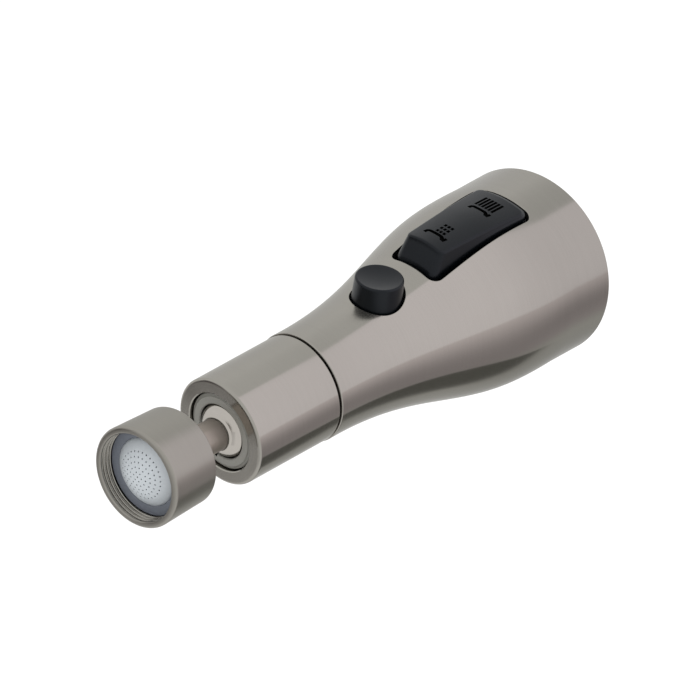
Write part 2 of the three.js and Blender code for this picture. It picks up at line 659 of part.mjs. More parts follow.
function waterwayBody() {
  const outside = revolve(
    [
      [waterwayStart, VALVE_BORE],
      [waterwayStart, sealGroove.inner],
      [sealCentre + O_RING + GAP, sealGroove.inner],
      [sealCentre + O_RING + GAP, sealGroove.outer],
      [waterwayStart, sealGroove.outer],
      [waterwayStart, socketPieceRadius],
      [NECK_SEAL_STATION - O_RING - GAP, socketPieceRadius],
      [NECK_SEAL_STATION - O_RING - GAP, neckGrooveRadius],
      [NECK_SEAL_STATION + O_RING + GAP, neckGrooveRadius],
      [NECK_SEAL_STATION + O_RING + GAP, socketPieceRadius],
      [collarStart, socketPieceRadius],
      [collarStart, spigotRadius],
      [collarStart + COLLAR_WIDTH, spigotRadius],
      [collarStart + COLLAR_WIDTH, TUBE_RADIUS],
      [blockStart, TUBE_RADIUS],
      [blockStart, BLOCK_RADIUS],
      [blockEnd, BLOCK_RADIUS],
      [chamberBack, chamberBore - CHAMBER_HAUNCH],
      [chamberBack, chamberRadius - CHAMFER],
      [chamberBack + CHAMFER, chamberRadius],
      [chamberEnd, chamberRadius],
      [chamberEnd, chamberBore],
      [chamberFloor, chamberBore],
      [chamberFloor, OUTLET_BORE],
      [spoolBoreEnd, OUTLET_BORE],
      [spoolBoreEnd, SPOOL_BORE],
      [spoolBoreStart, SPOOL_BORE],
      [spoolBoreStart, TUBE_BORE],
      [valvePocketEnd, TUBE_BORE],
      [valvePocketEnd, VALVE_BORE],
    ],
    FACETS_BODY,
  );
  const atScrews = (start, end, radius, facets) =>
    screwAngles.map((turn) =>
      rod(start, end, radius, facets).translate(0, ...polar(FACE_SCREW_CIRCLE, turn)),
    );
  const bossRadius = SCREW_RADIUS + BOSS_WALL;
  const screwBore = SCREW_RADIUS + GAP;
  const weirBottom = WEIR_TOP - WEIR_THICKNESS;
  const portHalf = PORT_WIDTH / 2;
  const portReach = TURRET_RADIUS + OVERCUT;
  const port = (start, bottom) =>
    box(start, start + portReach, -portHalf, portHalf, bottom, bottom + PORT_HEIGHT);
  return cut(
    join(
      outside,
      upright(-TURRET_BOTTOM, TURRET_TOP, TURRET_RADIUS, FACETS_INNER, buttonStation),
      ...atScrews(chamberFloor - EMBED, deckBack - GAP, bossRadius, FACETS_SMALL),
    ),
    upright(WEIR_TOP, TURRET_TOP + OVERCUT, CHAMBER_RADIUS, FACETS_INNER, buttonStation),
    upright(-CHAMBER_FLOOR, weirBottom, CHAMBER_RADIUS, FACETS_INNER, buttonStation),
    upright(weirBottom - OVERCUT, WEIR_TOP + OVERCUT, WEIR_HOLE, FACETS_SMALL, buttonStation),
    port(buttonStation - portReach, weirBottom - PORT_HEIGHT),
    port(buttonStation, WEIR_TOP),
    box(leverFront, leverRear, -leverSlotHalf, leverSlotHalf, 0, BLOCK_RADIUS + OVERCUT),
    ...frameScrews.map((x) =>
      upright(BLOCK_RADIUS - SCREW_DEPTH, BLOCK_RADIUS + OVERCUT, screwBore, FACETS_PIN, x),
    ),
    ...atScrews(chamberFloor - FACE_SCREW_BITE, deckBack, screwBore, FACETS_PIN),
  );
}
piece("waterway_body", waterwayBody(), MOULDED_GREY);
piece("ball_seal", ring(sealCentre, sealRadius, O_RING), BLACK_RUBBER);
piece("neck_seal", ring(NECK_SEAL_STATION, neckSealRadius, O_RING), BLACK_RUBBER);

// ---- Check valve --------------------------------------------------------------------------
const checkStart = waterwayStart + GAP;
const checkEnd = valvePocketEnd - GAP;
const checkFloor = checkStart + CHECK_SEAT_WALL;
const checkHubStart = checkEnd - CHECK_HUB_THICKNESS;
const headStart = checkFloor + GAP;
const headEnd = headStart + CHECK_HEAD_THICKNESS;

function checkValveBody() {
  const shell = revolve(
    [
      [checkStart, VALVE_BORE - GAP],
      [checkEnd, VALVE_BORE - GAP],
      [checkEnd, CHECK_BORE],
      [checkFloor, CHECK_BORE],
      [checkFloor, CHECK_SEAT],
      [checkStart, CHECK_SEAT + CHAMFER],
    ],
    FACETS_INNER,
  );
  const half = CHECK_ARM_WIDTH / 2;
  const arms = Array.from({ length: CHECK_ARMS }, (_, i) =>
    box(checkHubStart, checkEnd, 0, CHECK_BORE + EMBED, -half, half).rotateX(
      (2 * Math.PI * i) / CHECK_ARMS,
    ),
  );
  const hub = rod(checkHubStart, checkEnd, CHECK_HUB, FACETS_SMALL);
  const holeRadius = CHECK_STEM + GAP;
  const hole = rod(checkHubStart - OVERCUT, checkEnd + OVERCUT, holeRadius, FACETS_SMALL);
  return cut(join(shell, hub, ...arms), hole);
}
piece("check_valve_body", checkValveBody(), WHITE_ACETAL);

function checkPoppet() {
  return revolve(
    [
      [headStart, 0],
      [headStart, CHECK_HEAD - CHAMFER],
      [headStart + CHAMFER, CHECK_HEAD],
      [headEnd - CHAMFER, CHECK_HEAD],
      [headEnd, CHECK_SPRING_RADIUS - CHECK_SPRING_WIRE - GAP],
      [headEnd, CHECK_STEM],
      [checkEnd - GAP, CHECK_STEM],
      [checkEnd - GAP, 0],
    ],
    FACETS_SMALL,
  );
}
piece("check_poppet", checkPoppet(), DARK_PLASTIC);
piece(
  "check_spring",
  spring(headEnd + GAP, checkHubStart - GAP, CHECK_SPRING_RADIUS, CHECK_SPRING_WIRE),
  STEEL,
);

// ---- Pause valve and button ---------------------------------------------------------------
const stemHole = PLUNGER_RADIUS + GAP;
const bonnetTop = TURRET_TOP + GAP + BONNET_LIP;
const buttonCeiling = BUTTON_TOP - BUTTON_DISH - BUTTON_ROOF;
const buttonFoot = BUTTON_FLANGE_TOP - BUTTON_FLANGE_THICKNESS;
const plungerEnd = buttonCeiling + PLUNGER_SOCKET;
const plungerSealBottom = WEIR_TOP + PAUSE_REST + PAUSE_TRAVEL;
const plungerSealTop = plungerSealBottom + PLUNGER_SEAL_THICKNESS;

function pauseBonnet() {
  const plugBottom = TURRET_TOP - BONNET_PLUG;
  const profile = [
    [plugBottom, stemHole],
    [plugBottom, CHAMBER_RADIUS - GAP],
    [TURRET_TOP + GAP, CHAMBER_RADIUS - GAP],
    [TURRET_TOP + GAP, BONNET_LIP_RADIUS],
    [bonnetTop, BONNET_LIP_RADIUS],
    [bonnetTop, stemHole],
  ];
  return revolveUp(profile, FACETS_INNER, buttonStation);
}
piece("pause_bonnet", pauseBonnet(), WHITE_ACETAL);

// The cap's top is a shallow dish, part of a sphere. Its profile runs from the middle of the
// hollow, down the bore and up the outside.
function pauseButton() {
  const dishHalf = BUTTON_RIM_RADIUS - BUTTON_EDGE;
  const sphere = (dishHalf ** 2 + BUTTON_DISH ** 2) / (2 * BUTTON_DISH);
  const dishAngle = THREE.MathUtils.radToDeg(Math.asin(dishHalf / sphere));
  const centre = BUTTON_TOP - BUTTON_DISH + sphere;
  return revolveUp(
    [
      [plungerEnd, 0],
      [plungerEnd, stemHole],
      [buttonCeiling - BUTTON_BOSS_LENGTH, stemHole],
      [buttonCeiling - BUTTON_BOSS_LENGTH, BUTTON_BOSS],
      [buttonCeiling, BUTTON_BOSS],
      [buttonCeiling, BUTTON_BORE],
      [buttonFoot, BUTTON_BORE],
      [buttonFoot, BUTTON_FLANGE_RADIUS],
      [BUTTON_FLANGE_TOP, BUTTON_FLANGE_RADIUS],
      [BUTTON_FLANGE_TOP, BUTTON_BASE_RADIUS],
      [BUTTON_TOP - BUTTON_EDGE, BUTTON_RIM_RADIUS],
      [BUTTON_TOP - BUTTON_EDGE / 3, BUTTON_RIM_RADIUS - BUTTON_EDGE / 3],
      ...arc(centre, 0, sphere, 180 - dishAngle, 180, DISH_STEPS).slice(0, -1),
      [BUTTON_TOP - BUTTON_DISH, 0],
    ],
    FACETS_BODY,
    buttonStation,
  );
}
piece("pause_button", pauseButton(), CHARCOAL);

function pausePlunger() {
  const headTop = plungerSealBottom - GAP;
  return revolveUp(
    [
      [headTop - PLUNGER_HEAD_THICKNESS, 0],
      [headTop - PLUNGER_HEAD_THICKNESS, PLUNGER_HEAD_RADIUS],
      [headTop, PLUNGER_HEAD_RADIUS],
      [headTop, PLUNGER_TIP_RADIUS],
      [plungerSealTop + GAP, PLUNGER_TIP_RADIUS],
      [plungerSealTop + GAP, PLUNGER_RADIUS],
      [plungerEnd - GAP, PLUNGER_RADIUS],
      [plungerEnd - GAP, 0],
    ],
    FACETS_SMALL,
    buttonStation,
  );
}
piece("pause_plunger", pausePlunger(), STEEL);

function plungerSeal() {
  const bore = PLUNGER_TIP_RADIUS + GAP;
  const profile = [
    [plungerSealBottom, bore],
    [plungerSealBottom, PLUNGER_SEAL_RADIUS],
    [plungerSealTop, PLUNGER_SEAL_RADIUS],
    [plungerSealTop, bore],
  ];
  return revolveUp(profile, FACETS_INNER, buttonStation);
}
piece("plunger_seal", plungerSeal(), BLACK_RUBBER);

const pauseSpring = spring(
  bonnetTop + GAP,
  buttonCeiling - GAP,
  PAUSE_SPRING_RADIUS,
  PAUSE_SPRING_WIRE,
);
piece("pause_spring", pauseSpring.rotateY(-Math.PI / 2).translate(buttonStation, 0, 0), STEEL);

// ---- Rocker -------------------------------------------------------------------------------
function fromFlare(outline) {
  return { ...outline, front: flareStation + outline.front, rear: flareStation + outline.rear };
}
const slotOutline = fromFlare(ROCKER_SLOT);
const footOutline = fromFlare(ROCKER_FOOT);
const crestOutline = fromFlare(ROCKER_CREST);

// Half of an outline's width at a station along X.
function halfWidth({ front, rear, halfFront, halfRear }, x) {
  return halfFront + ((halfRear - halfFront) * (x - front)) / (rear - front);
}

// Points of an outline in the XY plane, the same number for every one, so that two of them can
// be joined by a loft.
function trapezoid(outline, inset = 0) {
  const halfAt = (x) => halfWidth(outline, x) - inset;
  const x0 = outline.front + inset;
  const x1 = outline.rear - inset;
  const radius = Math.max(outline.corner - inset, ROCKER_CORNER);
  const corners = [
    { x: x1 - radius, y: halfAt(x1) - radius, from: 0 },
    { x: x0 + radius, y: halfAt(x0) - radius, from: 90 },
    { x: x0 + radius, y: -halfAt(x0) + radius, from: 180 },
    { x: x1 - radius, y: -halfAt(x1) + radius, from: 270 },
  ];
  const points = [];
  corners.forEach(({ x, y, from }, k) => {
    const bend = arc(x, y, radius, from, from + 90, CORNER_STEPS);
    const next = corners[(k + 1) % corners.length];
    const start = new THREE.Vector2(...bend.at(-1));
    const end = new THREE.Vector2(...arc(next.x, next.y, radius, from + 90, from + 90, 1)[0]);
    const steps = k % 2 === 0 ? SIDE_STEPS : END_STEPS;
    points.push(...bend);
    for (let i = 1; i < steps; i++) {
      points.push(start.clone().lerp(end, i / steps).toArray());
    }
  });
  return points;
}

// Height of the rocker's top over the XY plane: two slopes with a soft kink between them, and
// a crown across.
function rockerTop(x, y) {
  const { x: kinkX, z, frontSlope, rearSlope, softness } = ROCKER_KINK;
  const run = x - flareStation - kinkX;
  const bend = Math.sqrt(run ** 2 + softness ** 2) - softness;
  const ridge = z + ((frontSlope + rearSlope) / 2) * run + ((rearSlope - frontSlope) / 2) * bend;
  return ridge + ROCKER_CROWN * (1 - (y / halfWidth(crestOutline, x)) ** 2);
}

function skirtHeight(x) {
  const share = (x - footOutline.front) / (footOutline.rear - footOutline.front);
  return ROCKER_SKIRT_FRONT + (ROCKER_SKIRT_REAR - ROCKER_SKIRT_FRONT) * share;
}

// Closed solid through rings of [x, y, z] points, from the lowest ring to the highest.
function loft(rings) {
  const origin = () => new THREE.Vector3();
  const count = rings[0].length;
  const positions = rings.flat(2);
  const index = [];
  for (let k = 0; k + 1 < rings.length; k++) {
    for (let i = 0; i < count; i++) {
      const a = k * count + i;
      const b = k * count + ((i + 1) % count);
      index.push(a, b, b + count, a, b + count, a + count);
    }
  }
  const cap = (end, first, up) => {
    const sum = end.reduce((total, point) => total.add(new THREE.Vector3(...point)), origin());
    positions.push(...sum.divideScalar(count).toArray());
    const centre = positions.length / 3 - 1;
    for (let i = 0; i < count; i++) {
      const a = first + i;
      const b = first + ((i + 1) % count);
      if (up) index.push(a, b, centre);
      else index.push(b, a, centre);
    }
  };
  cap(rings[0], 0, false);
  cap(rings.at(-1), (rings.length - 1) * count, true);
  const geometry = new THREE.BufferGeometry();
  geometry.setAttribute("position", new THREE.Float32BufferAttribute(positions, 3));
  geometry.setIndex(index);
  return geometry;
}

// The top's rings shrink towards the middle of the crest.
function topRing(outline, share, drop) {
  const centre = (crestOutline.front + crestOutline.rear) / 2;
  return outline.map(([px, py]) => {
    const x = centre + (px - centre) * share;
    const y = py * share;
    return [x, y, rockerTop(x, y) - drop];
  });
}

function rockerCap() {
  const foot = trapezoid(footOutline);
  const crest = trapezoid(crestOutline);
  const flat = trapezoid(crestOutline, ROCKER_EDGE);
  return loft([
    foot.map(([x, y]) => [x, y, skirtHeight(x)]),
    foot.map(([x, y]) => [x, y, shellHeight(x, y)]),
    crest.map(([x, y]) => [x, y, rockerTop(x, y) - ROCKER_EDGE]),
    flat.map(([x, y]) => [x, y, rockerTop(x, y)]),
    topRing(flat, 2 / 3, 0),
    topRing(flat, 1 / 3, 0),
  ]);
}

function rockerHollow() {
  const foot = trapezoid(footOutline, ROCKER_WALL);
  const crest = trapezoid(crestOutline, ROCKER_WALL);
  return loft([
    foot.map(([x, y]) => [x, y, skirtHeight(x) - OVERCUT]),
    foot.map(([x, y]) => [x, y, shellHeight(x, y)]),
    crest.map(([x, y]) => [x, y, rockerTop(x, y) - ROCKER_ROOF]),
    topRing(crest, 1 / 2, ROCKER_ROOF),
  ]);
}

// The lever hangs from the roof, swells round the pin and ends in the spool's groove.
function rockerLever() {
  const half = LEVER_THICKNESS / 2;
  const roof = rockerTop(pivotStation, 0) - ROCKER_ROOF / 2;
  const tip = arc(pivotStation, LEVER_TIP + half, half, 180, 360, TIP_STEPS);
  const stalk = slab(
    [[pivotStation - half, roof], ...tip, [pivotStation + half, roof]],
    LEVER_WIDTH,
  );
  const lastAngle = 360 * (1 - 1 / HUB_FACETS);
  const hub = arc(pivotStation, PIVOT_HEIGHT, HUB_RADIUS, 0, lastAngle, HUB_FACETS - 1);
  return join(stalk, slab(hub, LEVER_WIDTH));
}

function pinAlongY(radius, length, facets) {
  return upright(-length / 2, length / 2, radius, facets, 0)
    .rotateX(Math.PI / 2)
    .translate(pivotStation, 0, PIVOT_HEIGHT);
}

piece(
  "rocker_button",
  cut(
    join(cut(rockerCap(), rockerHollow()), rockerLever()),
    pinAlongY(PIN_RADIUS + GAP, LEVER_WIDTH + 2 * OVERCUT, FACETS_SMALL),
  ),
  CHARCOAL,
);
const earInner = LEVER_WIDTH / 2 + EAR_PLAY;
const earOuter = earInner + EAR_THICKNESS;
piece("rocker_pin", pinAlongY(PIN_RADIUS, 2 * earOuter, FACETS_SMALL), STEEL);

// ---- Control frame and its screws ---------------------------------------------------------
const frameBottom = BLOCK_RADIUS + GAP;
const frameTop = frameBottom + FRAME_THICKNESS;

// Height that the rocker's side wall reaches at full throw, over a stop at this station.
function rockerLow(x) {
  const run = x - pivotStation;
  const rise = skirtHeight(x) - PIVOT_HEIGHT;
  const turn = run < 0 ? degrees(ROCKER_THROW) : 0;
  return PIVOT_HEIGHT + rise * Math.cos(turn) + run * Math.sin(turn);
}

function controlFrame() {
  const [firstScrew, lastScrew] = frameScrews;
  const deck = box(
    firstScrew - FRAME_OVERHANG,
    lastScrew + FRAME_OVERHANG,
    -FRAME_HALF_WIDTH,
    FRAME_HALF_WIDTH,
    frameBottom,
    frameTop,
  );
  const earFoot = EAR_RADIUS + EAR_SPREAD;
  const earOutline = [
    [pivotStation + earFoot, frameBottom + EMBED],
    ...arc(pivotStation, PIVOT_HEIGHT, EAR_RADIUS, 0, 180, EAR_STEPS),
    [pivotStation - earFoot, frameBottom + EMBED],
  ];
  const ears = [-1, 1].map((side) =>
    slab(earOutline, EAR_THICKNESS, (side * (earInner + earOuter)) / 2),
  );
  const posts = POST_ADVANCES.flatMap((advance) => {
    const rear = flareStation + advance - POST_LENGTH / 2;
    const wall = halfWidth(footOutline, flareStation + advance) - ROCKER_WALL / 2;
    const middle = Math.min(wall, FRAME_HALF_WIDTH - POST_WIDTH / 2);
    const top = rockerLow(rear) - GAP;
    return [-middle, middle].map((y) =>
      box(
        rear,
        rear + POST_LENGTH,
        y - POST_WIDTH / 2,
        y + POST_WIDTH / 2,
        frameBottom + EMBED,
        top,
      ),
    );
  });
  const [below, above] = [frameBottom - OVERCUT, frameTop + OVERCUT];
  return cut(
    join(deck, ...ears, ...posts),
    box(leverFront, leverRear, -leverSlotHalf, leverSlotHalf, below, above),
    pinAlongY(PIN_RADIUS + GAP, 4 * earOuter, FACETS_SMALL),
    ...frameScrews.map((x) => upright(below, above, SCREW_RADIUS + GAP, FACETS_PIN, x)),
  );
}
piece("control_frame", controlFrame(), MOULDED_GREY);

// A pan head screw along X with its point at the start.
function screw(tip, underHead) {
  return revolve(
    [
      [tip, 0],
      [tip, SCREW_RADIUS * SCREW_TAPER],
      [tip + SCREW_RADIUS / 2, SCREW_RADIUS],
      [underHead, SCREW_RADIUS],
      [underHead, SCREW_HEAD_RADIUS],
      [underHead + SCREW_HEAD_HEIGHT * SCREW_TAPER, SCREW_HEAD_RADIUS],
      [underHead + SCREW_HEAD_HEIGHT, SCREW_HEAD_RADIUS * SCREW_TAPER],
      [underHead + SCREW_HEAD_HEIGHT, 0],
    ],
    FACETS_PIN,
  );
}

frameScrews.forEach((x, i) => {
  const standing = screw(BLOCK_RADIUS - SCREW_DEPTH + GAP, frameTop + GAP).rotateY(-Math.PI / 2);
  piece(`frame_screw_${i + 1}`, standing.translate(x, 0, 0), STEEL);
});

// ---- Diverter spool -----------------------------------------------------------------------
const spoolStart = spoolBoreStart + SPOOL_REST;
const spoolEnd = spoolStart + SPOOL_LENGTH;
const spoolRadius = SPOOL_BORE - GAP;
const spoolSealRadius = spoolRadius - SMALL_O_RING;
const spoolSealHalf = SMALL_O_RING + GAP;
const spoolGrooves = [
  spoolStart + SPOOL_LAND + spoolSealHalf,
  spoolEnd - SPOOL_LAND - spoolSealHalf,
];

function diverterSpool() {
  const sealFloor = spoolSealRadius - SMALL_O_RING - GAP;
  const groove = (from, to, floor) => [
    [from, spoolRadius],
    [from, floor],
    [to, floor],
    [to, spoolRadius],
  ];
  const forkHalf = LEVER_THICKNESS / 2 + FORK_PLAY;
  return revolve(
    [
      [spoolStart, SPOOL_PASSAGE],
      [spoolStart, spoolRadius],
      ...groove(spoolGrooves[0] - spoolSealHalf, spoolGrooves[0] + spoolSealHalf, sealFloor),
      ...groove(pivotStation - forkHalf, pivotStation + forkHalf, SPOOL_GROOVE_RADIUS),
      ...groove(spoolGrooves[1] - spoolSealHalf, spoolGrooves[1] + spoolSealHalf, sealFloor),
      [spoolEnd, spoolRadius],
      [spoolEnd, SPOOL_PASSAGE],
    ],
    FACETS_INNER,
  );
}
piece("diverter_spool", diverterSpool(), WHITE_ACETAL);
["rear", "front"].forEach((end, i) => {
  const seal = ring(spoolGrooves[i], spoolSealRadius, SMALL_O_RING);
  piece(`spool_seal_${end}`, seal, BLACK_RUBBER);
});

// ---- Spray face ---------------------------------------------------------------------------
const matBack = chamberEnd + GAP;
const matFront = matBack + MAT_THICKNESS;
const plateBack = matFront + GAP;
const plateFront = plateBack + PLATE_THICKNESS;
const faceRingBore = faceBore - GAP - FACE_RING_WALL;
const plateRadius = faceRingBore - GAP;
const aeratorOpening = AERATOR_RADIUS + GAP;
const aeratorFront = plateFront + AERATOR_STAND;
const aeratorSeat = deckBack + AERATOR_SEAT;
const deckSealRadius = chamberBore - GAP - SMALL_O_RING;

function flowDeck() {
  const middle = (deckBack + deckFront) / 2;
  const sealHalf = SMALL_O_RING + GAP;
  const sealFloor = deckSealRadius - SMALL_O_RING - GAP;
  const body = revolve(
    [
      [deckBack, DECK_JET],
      [deckBack, chamberBore - GAP],
      [middle - sealHalf, chamberBore - GAP],
      [middle - sealHalf, sealFloor],
      [middle + sealHalf, sealFloor],
      [middle + sealHalf, chamberBore - GAP],
      [deckFront, chamberBore - GAP],
      [deckFront, DECK_HUB],
      [chamberEnd, DECK_HUB],
      [chamberEnd, aeratorOpening],
      [aeratorSeat, aeratorOpening],
      [aeratorSeat, DECK_JET],
    ],
    FACETS_BODY,
  );
  const ports = Array.from({ length: DECK_PORTS }, (_, i) => {
    const turn = Math.PI / 2 + (2 * Math.PI * (i + 0.5)) / DECK_PORTS;
    return [DECK_PORT_CIRCLE, turn, DECK_PORT_RADIUS];
  });
  const screwHoles = screwAngles.map((turn) => [FACE_SCREW_CIRCLE, turn, SCREW_RADIUS + GAP]);
  const drills = [...ports, ...screwHoles].map(([circle, turn, radius]) =>
    rod(deckBack - OVERCUT, deckFront + OVERCUT, radius, FACETS_PIN).translate(
      0,
      ...polar(circle, turn),
    ),
  );
  return cut(body, ...drills);
}
piece("flow_deck", flowDeck(), MOULDED_GREY);
const deckSeal = ring((deckBack + deckFront) / 2, deckSealRadius, SMALL_O_RING, FACETS_BODY);
piece("deck_seal", deckSeal, BLACK_RUBBER);
screwAngles.forEach((turn, i) => {
  const geometry = screw(chamberFloor - FACE_SCREW_BITE + GAP, deckFront + GAP);
  piece(`face_screw_${i + 1}`, geometry.translate(0, ...polar(FACE_SCREW_CIRCLE, turn)), STEEL);
});

const nozzles = NOZZLE_RINGS.flatMap(({ radius, count }) =>
  Array.from({ length: count }, (_, i) => polar(radius, (2 * Math.PI * i) / count)),
);

function nozzleMat() {
  const sheet = disc(matBack, matFront, plateRadius, FACETS_BODY, [
    [0, 0, aeratorOpening, FACETS_BODY],
  ]);
  const tip = plateFront + NOZZLE_STAND;
  const cones = nozzles.map(([y, z]) =>
    revolve(
      [
        [matBack + EMBED, 0],
        [matBack + EMBED, NOZZLE_BASE],
        [plateFront, NOZZLE_BASE],
        [tip, NOZZLE_TIP],
        [tip, 0],
      ],
      NOZZLE_FACETS,
    ).translate(0, y, z),
  );
  const bores = nozzles.map(([y, z]) =>
    rod(matBack - OVERCUT, tip + OVERCUT, NOZZLE_BORE, BORE_FACETS).translate(0, y, z),
  );
  return cut(join(sheet, ...cones), ...bores);
}
piece("nozzle_mat", nozzleMat(), NOZZLE_RUBBER);

function sprayPlate() {
  const holes = nozzles.map(([y, z]) => [y, z, NOZZLE_BASE + NOZZLE_PLAY, NOZZLE_FACETS]);
  return disc(plateBack, plateFront, plateRadius, FACETS_BODY, [
    [0, 0, aeratorOpening, FACETS_BODY],
    ...holes,
  ]);
}
piece("spray_plate", sprayPlate(), DARK_PLASTIC);

function faceRing() {
  const outer = faceBore - GAP;
  const front = plateFront + GAP + FACE_LIP;
  return revolve(
    [
      [matBack, faceRingBore],
      [matBack, outer],
      [front - FACE_EDGE, outer],
      [front, outer - FACE_EDGE],
      [front, outer - FACE_LIP_WIDTH + CHAMFER],
      [plateFront + GAP, outer - FACE_LIP_WIDTH],
      [plateFront + GAP, faceRingBore],
    ],
    FACETS_SHELL,
  );
}
piece("face_ring", faceRing(), DARK_PLASTIC);

function aeratorHousing() {
  const bore = AERATOR_RADIUS - AERATOR_WALL;
  return revolve(
    [
      [aeratorSeat + GAP, bore],
      [aeratorSeat + GAP, AERATOR_RADIUS],
      [aeratorFront - FACE_EDGE, AERATOR_RADIUS],
      [aeratorFront, AERATOR_RADIUS - FACE_EDGE],
      [aeratorFront, bore - AERATOR_LIP_WIDTH],
      [aeratorFront - AERATOR_LIP, bore - AERATOR_LIP_WIDTH],
      [aeratorFront - AERATOR_LIP, bore],
    ],
    FACETS_BODY,
  );
}
piece("aerator_housing", aeratorHousing(), DARK_PLASTIC);

const aeratorDisc = AERATOR_RADIUS - AERATOR_WALL - GAP;
const screenFront = aeratorFront - AERATOR_LIP - GAP;
const screenBack = screenFront - AERATOR_SCREEN;
const insertFront = screenBack - GAP;
const insertBack = insertFront - AERATOR_CUP;

function aeratorScreen() {
  const holes = holeRings(AERATOR_MESH_RINGS, aeratorDisc, AERATOR_MESH, FACETS_PIN);
  return disc(screenBack, screenFront, aeratorDisc, FACETS_INNER, holes);
}
piece("aerator_screen", aeratorScreen(), MOULDED_GREY);

// Cup with a ring of metering jets in its floor.
function aeratorInsert() {
  const floor = insertBack + AERATOR_CUP_WALL;
  const cup = revolve(
    [
      [insertBack, 0],
      [insertBack, aeratorDisc],
      [insertFront, aeratorDisc],
      [insertFront, aeratorDisc - AERATOR_CUP_WALL],
      [floor, aeratorDisc - AERATOR_CUP_WALL],
      [floor, 0],
    ],
    FACETS_INNER,
  );
  const jets = Array.from({ length: AERATOR_JETS }, (_, i) =>
    rod(insertBack - OVERCUT, floor + OVERCUT, AERATOR_HOLE, FACETS_PIN).translate(
      0,
      ...polar(aeratorDisc / 2, (2 * Math.PI * i) / AERATOR_JETS),
    ),
  );
  return cut(cup, ...jets);
}
piece("aerator_insert", aeratorInsert(), WHITE_ACETAL);

// ---- Shell --------------------------------------------------------------------------------
function handleShell() {
  const registerStart = rimStation - FACE_BORE_DEPTH;
  const stations = (count) =>
    [flareCurve, bellCurve].flatMap((curve) =>
      Array.from({ length: count }, (_, i) => curve.getPoint(i / count).toArray()),
    );
  const inside = stations(INSIDE_STEPS)
    .filter(([x]) => x < registerStart)
    .map(([x, r]) => [x, r - SHELL_WALL]);
  const body = revolve(
    [
      ...stations(OUTSIDE_STEPS),
      [bellStation, BELL_RADIUS],
      [rimStation - RIM_EDGE, rimRadius],
      [rimStation, rimRadius - RIM_EDGE],
      [rimStation, faceBore],
      [registerStart, faceBore],
      [registerStart, shellRadius(registerStart) - SHELL_WALL - REGISTER_LEDGE],
      ...inside.reverse(),
    ],
    FACETS_SHELL,
  );
  const above = 2 * rimRadius;
  const slot = loft([0, above].map((z) => trapezoid(slotOutline).map(([x, y]) => [x, y, z])));
  const hole = upright(0, above, BUTTON_BASE_RADIUS + GAP, FACETS_BODY, buttonStation);
  return cut(body, slot, hole);
}
piece("handle_shell", handleShell(), NICKEL);

export default sprayHead;
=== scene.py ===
"""Looks of a pull-down faucet spray head: brushed nickel handle on a ball joint with its hose
nut, a dished pause button, a rocker with two pictograms and a rubber-nozzle spray face.
Sizes are in millimetres in the frame of the CAD model: +X from the hose to the spray face."""

import json
import math

import bmesh
import bpy
import numpy as np
from mathutils import Matrix, Quaternion, Vector


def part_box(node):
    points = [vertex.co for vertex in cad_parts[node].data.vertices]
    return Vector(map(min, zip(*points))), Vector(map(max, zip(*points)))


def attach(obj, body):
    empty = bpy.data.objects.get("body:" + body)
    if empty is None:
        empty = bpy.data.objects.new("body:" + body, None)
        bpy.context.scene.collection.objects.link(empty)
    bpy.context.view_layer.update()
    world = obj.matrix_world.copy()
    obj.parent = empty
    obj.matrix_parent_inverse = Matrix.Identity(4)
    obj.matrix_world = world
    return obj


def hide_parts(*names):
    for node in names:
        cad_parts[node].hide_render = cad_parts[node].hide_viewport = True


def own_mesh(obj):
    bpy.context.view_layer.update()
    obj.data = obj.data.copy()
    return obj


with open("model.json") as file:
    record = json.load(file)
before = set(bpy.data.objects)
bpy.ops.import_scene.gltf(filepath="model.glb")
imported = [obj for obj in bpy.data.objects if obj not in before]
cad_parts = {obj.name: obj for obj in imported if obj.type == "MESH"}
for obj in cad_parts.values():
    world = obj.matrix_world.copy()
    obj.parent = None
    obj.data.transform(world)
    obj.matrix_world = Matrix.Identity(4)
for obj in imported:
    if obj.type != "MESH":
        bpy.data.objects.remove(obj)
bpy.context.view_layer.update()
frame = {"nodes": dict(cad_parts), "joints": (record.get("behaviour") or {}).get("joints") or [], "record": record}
MM = 0.001
X_AXIS = Vector((1, 0, 0))
joints = {joint["name"]: joint for joint in frame["joints"]}


# ---- Sizes, from the frame where it has them --------------------------------------------
def low(node, axis=0):
    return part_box(node)[0][axis] / MM


def high(node, axis=0):
    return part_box(node)[1][axis] / MM


SEGMENTS = 192
SMALL_SEGMENTS = 96
GAP = 0.3

SLEEVE_END = 27.0
SLEEVE_RADII = (13.7, high("neck_sleeve", 1))
SLEEVE_EDGE, SLEEVE_REAR_EDGE = 0.85, 0.5
SOCKET_BORE, SOCKET_BEVEL = 10.1, 0.25
SPIGOT_RADIUS, SPIGOT_LENGTH = 12.38, 4.5

SHELL_START = low("handle_shell")
RIM_STATION = high("handle_shell")
NECK_RADIUS = 14.48
FLARE_RUN, FLARE_RADIUS, FLARE_SLOPE = 41.6, 21.1, 0.29
BELL_RUN, BELL_RADIUS = 37.9, 26.85
RIM_RADIUS = high("handle_shell", 1)
SHELL_WALL = 1.8
NECK_PULL, BELL_PULL = 0.45, 0.46
FLARE_PULL_BACK, FLARE_PULL_AHEAD = 0.24, 0.385
NECK_EDGE = 0.3
RIM_EDGE = 0.4
FACE_BORE = RIM_RADIUS - 2.1
FACE_BORE_START = RIM_STATION - 9.5
CUT_CHAMFER = 0.28
CHAMFER_STEPS = ((0.0, -1.1), (0.12, -0.5), (0.42, -0.12), (1.0, 0.03), (1.7, 0.1))

